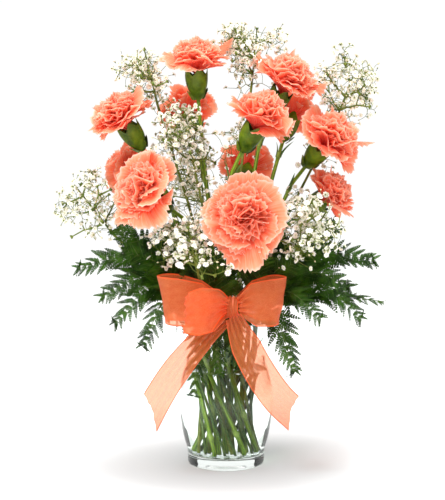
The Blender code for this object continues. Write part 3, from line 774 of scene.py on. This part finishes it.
def add_petal(builder, place, azimuth, start_angle, end_angle, length, half_fan, ruffle, cup, rng):
    """One ruffled fan-shaped petal, bent outwards from its claw, with an edge cut into small teeth."""
    phases = rng.uniform(0, math.tau, 5)
    waves = rng.uniform(1.3, 2.1), rng.uniform(2.8, 4.6)
    tone = rng.uniform(0, 1)
    twist = rng.normal(0, 0.16)
    curl = rng.normal(0.0, 0.25)
    outwards = Vector((math.cos(azimuth), math.sin(azimuth), 0))
    sideways = Vector((-math.sin(azimuth), math.cos(azimuth), 0))
    points, marks = [], []
    for s, angle, run, out, rise in petal_midrib(start_angle, end_angle, curl, length):
        along = outwards * math.sin(angle) + UP * math.cos(angle)
        normal = outwards * -math.cos(angle) + UP * math.sin(angle)
        for j in range(PETAL_COLUMNS):
            v = 2 * j / (PETAL_COLUMNS - 1) - 1
            fan = half_fan * v * (0.25 + 0.75 * s)
            tooth = (0.022 + 0.018 * math.sin(9 * v + phases[4])) * (1 if j % 2 else -1) * s**6
            lobe = 0.050 * math.sin(2.9 * v + phases[2]) * s**3 + 0.025 * math.sin(7.3 * v + phases[3]) * s**4
            reach = run * (1 - 0.15 * v * v * s**2 + tooth + lobe)
            wave = 0.66 * math.sin(math.pi * waves[0] * v + phases[0])
            wave += 0.34 * math.sin(math.pi * waves[1] * v + phases[1] + 2.0 * s)
            lift = ruffle * length * s**1.7 * wave + cup * length * s * v * v
            lift += twist * length * s * v
            along_reach = reach * math.cos(fan) - run
            spot = outwards * out + UP * rise + along * along_reach
            spot += sideways * reach * math.sin(fan) + normal * lift
            points.append(place @ spot)
            marks.append((s, v * (0.4 + s), tone))
    builder.add(points, grid_faces(PETAL_ROWS, PETAL_COLUMNS), marks)


def add_bloom(head, number, petal):
    """A double carnation: rings of petals, from the wide guard petals to the crowded upright middle."""
    base, axis, radius, _ = head_frame(head)
    rng = np.random.default_rng(100 + number)
    throat = frame_matrix(base - axis * 2 * MM, axis)
    builder = Builder()
    for count, tilt, share, ruffle, width in PETAL_RINGS:
        longest = 1.12 if tilt > GUARD_TILT else 1.05
        shift = rng.uniform(0, math.tau)
        for k in range(count):
            azimuth = shift + math.tau * (k + rng.uniform(-0.25, 0.25)) / count
            end_angle = math.radians(tilt + rng.normal(0, 8))
            start_angle = end_angle * rng.uniform(0.15, 0.35)
            length = radius * share * rng.uniform(0.86, longest) * PETAL_LENGTH_SHARE
            fan = FAN_HALF_ANGLE * rng.uniform(0.88, 1.12) * width
            cup = rng.uniform(0.0, 0.14)
            bent = ruffle * rng.uniform(0.7, 1.3)
            add_petal(builder, throat, azimuth, start_angle, end_angle, length, fan, bent, cup, rng)
    for way, share, width in HANGING_PETALS.get(head, ()):
        local = throat.to_3x3().inverted() @ Vector(way)
        azimuth = math.atan2(local.y, local.x)
        length = radius * share * PETAL_LENGTH_SHARE
        end_angle = math.radians(100)
        fan = FAN_HALF_ANGLE * width
        add_petal(builder, throat, azimuth, 0.3 * end_angle, end_angle, length, fan, 0.09, 0.05, rng)
    builder.finish(f"{head}_petals", [petal], "carnation_petal", [f"{head}_bloom"])


def add_calyx(head, green):
    """The calyx: a ribbed cup with five pointed teeth, and two pairs of small bracts at its base."""
    base, axis, _, _ = head_frame(head)
    calyx, _ = cad_arrays(f"{head}_calyx")
    along = (calyx - np.array(base)) @ np.array(axis)
    length = -along.min()
    tooth = along.max()
    flat = calyx - np.array(base) - np.outer(along, np.array(axis))
    outside = np.linalg.norm(flat, axis=1).max()
    stem = np.linalg.norm(flat[along < along.min() + MM], axis=1).max()
    place = frame_matrix(base, axis)
    builder = Builder()
    sides, rows = 40, 12
    points, marks = [], []
    for i in range(rows):
        s = i / (rows - 1)
        radius = stem + (outside - stem) * math.sin(0.5 * math.pi * min(1, s * 1.05)) ** 0.8
        for k in range(sides):
            angle = math.tau * k / sides
            point = abs(math.cos(2.5 * angle)) ** 1.6
            rim = max(0.0, (s - 0.55) / 0.45) ** 1.5
            height = -length + s * (length - 1.5 * MM) + (tooth + 2 * MM) * point * rim
            reach = radius * (1 + 0.012 * math.cos(10 * angle) - 0.05 * (1 - point) * max(0, s - 0.6))
            points.append(place @ Vector((reach * math.cos(angle), reach * math.sin(angle), height)))
            marks.append((s, angle / math.tau, 0))
    builder.add(points, tube_faces(rows, sides), marks)
    for k in range(4):
        angle = math.tau * k / 4 + 0.4
        level = 0.5 if k % 2 else 0.0
        add_bract(builder, place, angle, -length + level * 3 * MM, stem + MM, outside, 0.42 * length)
    builder.finish(f"{head}_calyx_cup", [green], "calyx_green", [f"{head}_calyx"])


def add_bract(builder, place, azimuth, start, inner, outside, length):
    """A small pointed scale that hugs the bottom of the calyx."""
    rows, columns = 6, 5
    points, marks = [], []
    for i in range(rows):
        s = i / (rows - 1)
        swell = math.sin(0.5 * math.pi * (0.5 * s + 0.05)) ** 0.8
        radius = inner + (outside - inner) * swell + 0.7 * MM * (1 + s)
        for j in range(columns):
            v = 2 * j / (columns - 1) - 1
            angle = azimuth + v * 0.75 * (1 - s**2.2) * (1 if s else 0.9)
            spot = Vector((radius * math.cos(angle), radius * math.sin(angle), start + s * length))
            points.append(place @ spot)
            marks.append((0.2 + 0.3 * s, v, 0))
    builder.add(points, grid_faces(rows, columns), marks)


def add_stem(head, stem, leaf, number):
    """A carnation stem: a tapering tube with swollen joints, and here and there a pair of narrow leaves."""
    rng = np.random.default_rng(300 + number)
    node = f"{head}_stem"
    start = lowest_point(node)
    traced = trace(node, start, UP, 4 * MM)
    route = smooth_curve([start] + [centre for centre, _ in traced], 90)
    base, axis, _, _ = head_frame(head)
    calyx, _ = cad_arrays(f"{head}_calyx")
    depth = ((calyx - np.array(base)) @ np.array(axis)).min()
    route.append(base + axis * (depth + 2 * MM))
    radius = STEM_SHARE * float(np.median([half for _, half in traced]))
    joints = sorted(rng.uniform(0.06, 0.2) + 0.25 * k for k in range(4))
    radii = []
    for i in range(len(route)):
        s = i / (len(route) - 1)
        swell = sum(math.exp(-((s - joint) / 0.010) ** 2) for joint in joints)
        radii.append(radius * (1 - 0.10 * s) * (1 + 0.38 * swell))
    builder = Builder()
    add_tube(builder, route, radii, 12)
    marked = np.array(builder.marks)
    for joint in joints:
        marked[:, 2] += 0.7 * np.exp(-((marked[:, 0] - joint) / 0.014) ** 2)
    builder.marks = [tuple(row) for row in marked]
    for joint in joints[1:]:
        i = int(joint * (len(route) - 1))
        along = (route[i + 1] - route[i - 1]).normalized()
        side = Matrix.Rotation(rng.uniform(0, math.tau), 3, along) @ along.orthogonal().normalized()
        for sign in (1, -1):
            add_blade(builder, route[i], along, side * sign, rng.uniform(16, 30) * MM, 2.2 * MM, 1, rng)
    builder.finish(f"{head}_stalk", [stem, leaf], "green_stem", [node])


def add_blade(builder, root, along, side, length, half_width, slot, rng):
    """A narrow folded leaf that hugs its stem and curls away at the tip."""
    rows, columns = 7, 3
    curl = rng.uniform(0.2, 0.7)
    across = along.cross(side).normalized()
    points, marks = [], []
    for i in range(rows):
        s = i / (rows - 1)
        middle = root + side * 2.4 * MM + along * length * s + side * length * curl * s**2.2
        width = half_width * (1 - s) ** 0.6 * (0.7 + 0.3 * s)
        for j in range(columns):
            v = j - 1
            points.append(middle + across * v * width + side * abs(v) * 0.25 * width)
            marks.append((s, v, 0.3))
    builder.add(points, grid_faces(rows, columns), marks, slot)


# ---------------------------------------------------------------- baby's breath


def add_tiny_flower(builder, place, facing, radius, tone, rng):
    """A tiny double flower: two rings of rounded petals round a tight middle."""
    side = facing.orthogonal().normalized()
    other = facing.cross(side)
    turn = rng.uniform(0, math.tau)
    faces = [(0, 2, 1), (0, 3, 2), (1, 2, 4), (2, 3, 5), (2, 5, 4)]
    marks = [(s, 0, tone) for s in (0.05, 0.6, 0.5, 0.6, 1, 1)]
    for ring, (count, lift, share) in enumerate(FLOWER_RINGS):
        reach = radius * share
        for k in range(count):
            angle = turn + math.tau * (k + 0.5 * ring + rng.uniform(-0.15, 0.15)) / count
            out = side * math.cos(angle) + other * math.sin(angle)
            across = facing.cross(out) * 0.42
            climb = facing * lift * rng.uniform(0.7, 1.3)
            shape = (
                out * 0.55 + across + climb * 0.4,
                out * 0.60 + climb * 0.25,
                out * 0.55 - across + climb * 0.4,
                out + across * 0.55 + climb * 0.75,
                out - across * 0.55 + climb * 0.75,
            )
            builder.add([place] + [place + spot * reach for spot in shape], faces, marks)


def add_bud(builder, place, facing, radius, slot=0):
    """A closed bud, an egg drawn out along its stalk."""
    side = facing.orthogonal().normalized()
    other = facing.cross(side)
    points = [place]
    for rise, share in ((0.5, 0.8), (1.5, 0.9), (2.3, 0.5)):
        for k in range(5):
            angle = math.tau * k / 5
            out = side * math.cos(angle) + other * math.sin(angle)
            points.append(place + facing * rise * radius + out * radius * share)
    points.append(place + facing * 2.7 * radius)
    faces = [(0, 1 + (k + 1) % 5, 1 + k) for k in range(5)]
    for row in (1, 6):
        for k in range(5):
            j = (k + 1) % 5
            faces.append((row + k, row + j, row + 5 + j, row + 5 + k))
    faces += [(11 + k, 11 + (k + 1) % 5, 16) for k in range(5)]
    builder.add(points, faces, slot=slot)


def add_flower_or_bud(green, white, end, heading, rng):
    """A closed bud, or an open flower on its small green cup, at the end of a twig."""
    if rng.uniform() < BUD_SHARE:
        add_bud(green, end, heading, BUD_RADIUS * rng.uniform(0.8, 1.3), 1)
        return
    facing = (heading + UP * 0.25 + Vector(rng.normal(0, 0.30, 3))).normalized()
    add_bud(green, end - heading * 1.2 * MM, heading, 0.75 * MM)
    size = FLOWER_RADIUS * rng.uniform(0.72, 1.15)
    add_tiny_flower(white, end + heading * 0.6 * MM, facing, size, rng.uniform(0, 1), rng)


def add_panicle(green, white, start, heading, targets, rng):
    """Forking twigs from a start to every target: the targets are split in two again and again."""
    if len(targets) == 1:
        bend = start.lerp(targets[0], 0.5) + heading * 0.12 * (targets[0] - start).length
        add_tube(green, [start, bend, targets[0]], [TWIG_RADIUS] * 3, 4, close=False)
        add_flower_or_bud(green, white, targets[0], (targets[0] - bend).normalized(), rng)
        return
    places = np.array(targets)
    axis = np.linalg.svd(places - places.mean(0), full_matrices=False)[2][0]
    order = np.argsort((places - places.mean(0)) @ axis)
    half = len(order) // 2 + int(rng.integers(0, 2)) * (len(order) % 2)
    for group in (order[:half], order[half:]):
        chosen = [targets[i] for i in group]
        middle = sum(chosen, Vector()) / len(chosen)
        share = 0.45 if len(chosen) > 1 else 0.5
        fork = start.lerp(middle, share) + heading * 0.10 * (middle - start).length
        radius = TWIG_RADIUS * (1 + 0.22 * math.log2(len(chosen)))
        add_tube(green, [start, fork], [radius * 1.15, radius], 4, close=False)
        add_panicle(green, white, fork, (fork - start).normalized(), chosen, rng)


def free_place(place, keep_clear):
    """Whether a flower may stand here: near the CAD's box, and outside the balls to keep clear."""
    low, high = CAD_BOX
    near = all(low[i] - BOX_OVERHANG < place[i] < high[i] + BOX_OVERHANG for i in range(3))
    return near and all((place - middle).length > far for middle, far in keep_clear)


def side_starts(node, rng):
    """Places on a spray's upper stem where thin side twigs leave it, each with the way that twig heads."""
    points, _ = cad_arrays(node)
    top = points[:, 2].max()
    starts = []
    for share in SIDE_TWIG_HEIGHTS:
        nearest = points[np.abs(points[:, 2] - share * top).argmin()]
        place = points[np.linalg.norm(points - nearest, axis=1) < 3 * MM].mean(0)
        turn = rng.uniform(0, math.tau)
        starts.append((Vector(place), Vector((math.cos(turn), math.sin(turn), 1.0)).normalized()))
    return starts


def add_spray(node, number, twig, bud, flower, keep_clear):
    """Baby's breath: the CAD stem, with forking twigs and tiny flowers round its ends and up its side."""
    rng = np.random.default_rng(500 + number)
    reach, count = SPRAY_FILL.get(node, SPRAY_FILL["others"])
    green, white = Builder(), Builder()
    points, faces = cad_arrays(node)
    green.add([Vector(p) for p in points], [tuple(face) for face in faces])
    starts = [(end, heading, reach, count) for end, heading in twig_ends(node) if end.z > MOUTH_HEIGHT]
    on_side = SIDE_TWIG_FLOWERS.get(node, SIDE_TWIG_FLOWERS["others"])
    starts += [(*start, 1.7 * reach, on_side) for start in side_starts(node, rng)]
    for end, heading, reach, count in starts:
        targets = []
        for _ in range(count):
            aim = Vector(rng.normal(0, 1, 3)).normalized() + heading * 0.6 + UP * 0.1
            place = end + aim.normalized() * reach * rng.uniform(0.25, 1.0) ** 0.7
            if free_place(place, keep_clear):
                targets.append(place)
        if targets:
            add_panicle(green, white, end, heading, targets, rng)
    green.finish(f"{node}_twigs", [twig, bud], "babys_breath", [node])
    white.finish(f"{node}_flowers", [flower], "babys_breath", [node], smooth=False)


# ---------------------------------------------------------------- fern


def add_pinnule(builder, root, along, across, up, length, width, rng):
    """A narrow leaflet, widest near its foot, with a tooth on each side."""
    steps = ((0.0, 0.55), (0.30, 1.0), (0.42, 0.72), (0.66, 0.70), (0.76, 0.42), (1.0, 0.0))
    droop = rng.uniform(-0.05, 0.18)
    points, marks = [], []
    for s, share in steps:
        middle = root + along * length * s - up * droop * length * s * s
        for side in (-1, 0, 1):
            fold = up * 0.12 * width * abs(side)
            points.append(middle + across * side * share * width * 0.5 + fold)
            marks.append((s, side, 0))
    builder.add(points, grid_faces(len(steps), 3), marks)


def add_pinna(builder, root, along, up, length, rng):
    """A side leaf: a thin rib with toothed leaflets that shorten towards its pointed tip."""
    across = along.cross(up).normalized()
    pairs = max(5, round(PINNULE_PAIRS * min(1.0, 0.35 + length / (48 * MM))))
    sag = rng.uniform(0.06, 0.22)
    rib = [root + along * length * s - up * sag * length * s * s for s in np.linspace(0, 1, 6)]
    add_tube(builder, rib, [0.40 * MM * (1 - 0.8 * s) for s in np.linspace(0, 1, 6)], 4, 1, close=False)
    for k in range(pairs):
        s = (k + 0.5) / (pairs + 0.3)
        place = root + along * length * s - up * sag * length * s * s
        size = length * 0.25 * (1 - s) ** 0.8 + 0.9 * MM
        for side in (-1, 1):
            lean = math.radians(rng.uniform(46, 58))
            aim = along * math.cos(lean) + across * side * math.sin(lean)
            flat = up.cross(aim).normalized()
            add_pinnule(builder, place, aim, flat, up, size, length / pairs * 0.98, rng)
    tip = root + along * length * 0.95 - up * sag * length * 0.9
    add_pinnule(builder, tip, along, across, up, 0.07 * length + MM, 1.2 * MM, rng)


def frond_lines(node):
    """A frond's bare stalk, and its blade's midrib, sideways direction and half width, from the CAD."""
    start = lowest_point(node)
    points, faces = cad_arrays(node)
    stalk = [start]
    for centre, half in trace(node, start, UP, 3.5 * MM):
        if half > 3.5 * MM:
            break
        stalk.append(centre)
    root = np.array(stalk[-1])
    tip = points[np.linalg.norm(points - np.array(start), axis=1).argmax()]
    chord = tip - root
    blade, sides, halves = [Vector(root)], [], []
    for share in np.linspace(0.04, 0.97, 22):
        outline = cut_across(points, faces, root + share * chord, chord / np.linalg.norm(chord))
        centre, wide, half = widest(outline)
        blade.append(Vector(centre))
        halves.append(half)
        if half > 6 * MM:
            sides.append(wide if not sides or wide @ sides[-1] > 0 else -wide)
    blade.append(Vector(tip))
    return stalk, blade, Vector(np.mean(sides, axis=0)).normalized(), max(halves)


def add_leafy_blade(builder, blade, sideways, size, rng):
    """Side leaves in pairs along a midrib, longest near its root."""
    pairs = max(6, round(PINNA_PAIRS * min(1.0, 0.3 + size / (70 * MM))))
    for k in range(pairs):
        s = 0.03 + 0.95 * (1 - (1 - (k + 0.1) / pairs) ** 1.4)
        i = min(MIDRIB_STEPS - 1, int(MIDRIB_STEPS * s))
        place = blade[i]
        along = (blade[i + 1] - place).normalized()
        across = (sideways - along * sideways.dot(along)).normalized()
        up = across.cross(along)
        if up.z < 0:
            up = -up
        length = size * (1 - s) ** 0.95 * (0.8 if k == 0 else 1.0) + 4 * MM
        for side in (-1, 1):
            lean = math.radians(46 - 14 * s + rng.normal(0, 5))
            aim = along * math.cos(lean) + across * side * math.sin(lean) + up * rng.normal(-0.06, 0.14)
            tilt = (up + across * side * rng.normal(0.10, 0.25)).normalized()
            add_pinna(builder, place, aim.normalized(), tilt, length * rng.uniform(0.9, 1.08), rng)


def add_side_blade(builder, root, tip, lift, size, rng):
    """A smaller blade on the same stalk; its face turns to the front and upwards."""
    blade = smooth_curve([root, root.lerp(tip, 0.5) + UP * lift, tip], MIDRIB_STEPS + 1)
    chord = (tip - root).normalized()
    facing = (Vector((0, -1, 0)) + UP * 0.7 + Vector((tip.x, tip.y, 0)) * 4).normalized()
    sideways = chord.cross(facing).normalized()
    add_tube(builder, blade, [MM * (1 - 0.8 * i / MIDRIB_STEPS) for i in range(len(blade))], 6, 1)
    bare = MIDRIB_STEPS // 5
    add_leafy_blade(builder, blade[bare:] + [blade[-1]] * bare, sideways, size, rng)


def add_frond(node, number, leaf, rib):
    """A triangular fern frond along its CAD midrib, with the smaller blades that fill the gaps beside it."""
    rng = np.random.default_rng(700 + number)
    stalk, blade, sideways, half = frond_lines(node)
    root = stalk[-1]
    stalk = smooth_curve(stalk, 24)
    blade = smooth_curve(blade, MIDRIB_STEPS + 1)
    builder = Builder()
    radii = [1.3 * MM] * len(stalk)
    radii += [1.2 * MM * (1 - 0.8 * i / MIDRIB_STEPS) for i in range(1, len(blade))]
    add_tube(builder, stalk + blade[1:], radii, 7, 1)
    add_leafy_blade(builder, blade, sideways, PINNA_SHARE * half + 8 * MM, rng)
    for tip, lift, size in SIDE_BLADES.get(node, ()):
        add_side_blade(builder, root, Vector(tip) * MM, lift * MM, size * MM, rng)
    builder.finish(f"{node}_leaf", [leaf, rib], "fern_green", [node])


# ---------------------------------------------------------------- ribbon


def spread(values, stations, count):
    """Values at the stations, spread out evenly to count values."""
    spots = np.linspace(0, stations - 1, count)
    return np.interp(spots, np.arange(stations), values)


def ripples(s, v, phases):
    """The soft unevenness of the cloth at a place along and across it, from about -1.7 to 1.7."""
    soft = math.sin(5 * s + 2.2 * v + phases[0])
    soft += 0.45 * math.sin(12 * s + 5 * v + phases[1])
    return soft + 0.22 * math.sin(27 * s - 8 * v + phases[2])


def add_ribbon(node, middle, stations, material, rng, ripple):
    """One stretch of organza: a soft band through its stations, gathered where it is narrow at the knot."""
    count, columns = 90, 41
    fine = smooth_curve([middle + Vector(place) * MM for place, _, _ in stations], count)
    steps = np.arange(count)
    line = np.array(fine)
    widths = spread([share for _, _, share in stations], len(stations), count)
    sides = np.array([Vector(edge).normalized() for _, edge, _ in stations])
    edges = np.array([spread(sides[:, axis], len(stations), count) for axis in range(3)]).T
    phases = rng.uniform(0, math.tau, 4)
    length = sum((b - a).length for a, b in zip(fine, fine[1:]))
    cut_low, cut_high, notch = TAIL_CUTS.get(node, (0, 0, 0))
    points, marks = [], []
    for i in range(count):
        for j in range(columns):
            v = 2 * j / (columns - 1) - 1
            keep = 1 - cut_low * (1 - v) / 2 - cut_high * (1 + v) / 2 - notch * (1 - abs(v))
            step = i * keep
            place = Vector([np.interp(step, steps, line[:, axis]) for axis in range(3)])
            low = min(int(step), count - 2)
            along = (fine[low + 1] - fine[low]).normalized()
            edge = Vector(edges[low])
            edge = (edge - along * edge.dot(along)).normalized()
            share = float(np.interp(step, steps, widths))
            s = step / (count - 1)
            pleat = (1 - share) * 3.2 * MM * math.cos(4.5 * math.pi * v)
            lift = pleat + ripple * ripples(s, v, phases) * share
            points.append(place + edge * v * share * RIBBON_WIDTH / 2 + along.cross(edge) * lift)
            marks.append((s * length / RIBBON_WIDTH, v, max(0.0, abs(v) - EDGE_START) / (1 - EDGE_START)))
    builder = Builder()
    builder.add(points, grid_faces(count, columns), marks)
    piece = builder.finish(f"{node}_organza", [material], "organza_ribbon", [node])


def add_bow(ribbon, pick):
    """The bow's loops and tails round the middle of the CAD knot's front, and the knot."""
    rng = np.random.default_rng(900)
    low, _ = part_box("bow_knot")
    points, _ = cad_arrays("bow_knot")
    front = points[points[:, 1] < low.y + 14 * MM]
    middle = Vector((front.min(0) + front.max(0)) / 2)
    for node, stations, ripple in BOW:
        add_ribbon(node, middle, stations, ribbon, rng, ripple * MM)
    add_knot(middle, front, ribbon, pick)


def add_knot(middle, front, ribbon, pick):
    """The knot: a band of gathered ribbon wrapped round the middle, and the thin pick behind it."""
    half = Vector((front.max(0) - front.min(0)) / 2)
    builder = Builder()
    around, across = 48, 25
    points, marks = [], []
    for i in range(around):
        angle = math.tau * i / around
        for j in range(across):
            v = 2 * j / (across - 1) - 1
            pleat = 1 + 0.07 * math.cos(5 * math.pi * v) + 0.03 * math.sin(3 * angle + 4 * v)
            bulge = 1 - 0.22 * v * v
            spot = Vector((
                v * half.x * (1 - 0.12 * math.cos(angle) ** 2),
                half.y * math.cos(angle) * pleat * bulge,
                half.z * math.sin(angle) * pleat * bulge,
            ))
            points.append(middle + spot)
            marks.append((i / around, v, max(0.0, abs(v) - 0.9) / 0.1))
    faces = []
    for i in range(around):
        for j in range(across - 1):
            a, b = i * across + j, ((i + 1) % around) * across + j
            faces.append((a, a + 1, b + 1, b))
    builder.add(points, faces, marks)
    builder.finish("bow_knot_organza", [ribbon], "organza_ribbon", ["bow_knot"])
    route = trace("bow_knot", middle + Vector((0, half.y + 6 * MM, 0)), Vector((0.1, 1, 0)), 2 * MM)
    rod = Builder()
    add_tube(rod, smooth_curve([centre for centre, _ in route], 40), [MM] * 40, 8)
    rod.finish("bow_pick", [pick], "organza_ribbon", ["bow_knot"])


# ---------------------------------------------------------------- stage


def add_camera():
    data = bpy.data.cameras.new("camera")
    data.sensor_fit = "VERTICAL"
    data.angle = CAMERA_VIEW_ANGLE
    camera = bpy.data.objects.new("camera", data)
    camera.location = CAMERA_PLACE
    camera.rotation_euler = (CAMERA_TARGET - CAMERA_PLACE).to_track_quat("-Z", "Y").to_euler()
    bpy.context.scene.collection.objects.link(camera)
    bpy.context.scene.camera = camera


def add_light(name, place, size, power):
    """A round soft light aimed at the middle of the arrangement."""
    data = bpy.data.lights.new(name, "AREA")
    data.shape = "DISK"
    data.size = size
    data.energy = power
    light = bpy.data.objects.new(name, data)
    light.location = place
    light.rotation_euler = (LIGHT_TARGET - Vector(place)).to_track_quat("-Z", "Y").to_euler()
    bpy.context.scene.collection.objects.link(light)


def add_card(name, corners, material):
    """A flat four-cornered stage card."""
    mesh = bpy.data.meshes.new(name)
    mesh.from_pydata(corners, [], [(0, 1, 2, 3)])
    mesh.materials.append(material)
    card = bpy.data.objects.new(name, mesh)
    bpy.context.scene.collection.objects.link(card)
    return card


def stage_material(name, near, far):
    """A matt stage surface whose tone changes between 5 and 30 cm from the vase's axis; on the floor the
    darker near tone is a painted shadow round the vase.
    """
    m = Nodes(name)
    place = m.node("ShaderNodeTexCoord")
    distance = m.node("ShaderNodeVectorMath", operation="LENGTH")
    m.link(place.outputs["Object"], distance.inputs[0])
    m.colour(m.greys(distance.outputs["Value"], (0.05, near), (0.30, far)))
    m.set(Roughness=0.9, Specular_IOR_Level=0.0)
    return m.material


def add_dark_cards():
    """Dark cards at both sides, which only show in the glass and give it its edges."""
    dark = stage_material("card_dark", 0.02, 0.02)
    low, high = CARD_HEIGHTS
    ends = ((CARD_INNER_END, low), (CARD_OUTER_END, low), (CARD_OUTER_END, high), (CARD_INNER_END, high))
    for name, side in (("card_left", -1), ("card_right", 1)):
        card = add_card(name, [(side * x, y, z) for (x, y), z in ends], dark)
        card.visible_camera = False
        card.visible_diffuse = False
        card.visible_shadow = False


def add_stage():
    """A pale floor with a painted shadow round the vase, white surroundings, soft lights, and the dark cards.
    """
    far = FLOOR_HALF_WIDTH
    # Painted shadow: the floor's tone is 0.55 next to the vase and rises to white by 30 cm out.
    floor = stage_material("floor_painted_shadow", 0.55, 0.999)
    add_card("floor", [(-far, -far, 0), (far, -far, 0), (far, far, 0), (-far, far, 0)], floor)
    add_dark_cards()
    world = bpy.data.worlds.new("studio")
    world.use_nodes = True
    back = world.node_tree.nodes["Background"]
    back.inputs["Color"].default_value = (1.0, 1.0, 1.0, 1.0)
    back.inputs["Strength"].default_value = 1.02
    bpy.context.scene.world = world
    for name, place, size, power in LIGHTS:
        add_light(name, place, size, power)
    bpy.context.scene.view_settings.view_transform = "Standard"


def main():
    add_camera()
    add_stage()
    add_vase()
    add_water()
    petal = petal_material()
    stem = stem_material()
    flower = tiny_flower_material()
    green = {name: leaf_material(name) for name in GREENS}
    keep_clear = [(Vector(middle) * MM, radius * MM) for middle, radius in CLEAR_BALLS]
    for number, head in enumerate(head_names()):
        add_bloom(head, number, petal)
        add_calyx(head, green["calyx_green"])
        add_stem(head, stem, green["carnation_leaf"], number)
        base, axis, radius, height = head_frame(head)
        keep_clear.append((base + axis * 0.5 * height, 0.9 * radius))
    twig, bud = green["babys_breath_twig"], green["babys_breath_bud"]
    for number, node in enumerate(nodes_named("babys_breath")):
        add_spray(node, number, twig, bud, flower, keep_clear)
    for number, node in enumerate(nodes_named("fern_")):
        add_frond(node, number, green["fern_green"], green["fern_rib"])
    add_bow(ribbon_material(), green["pick_green"])


main()
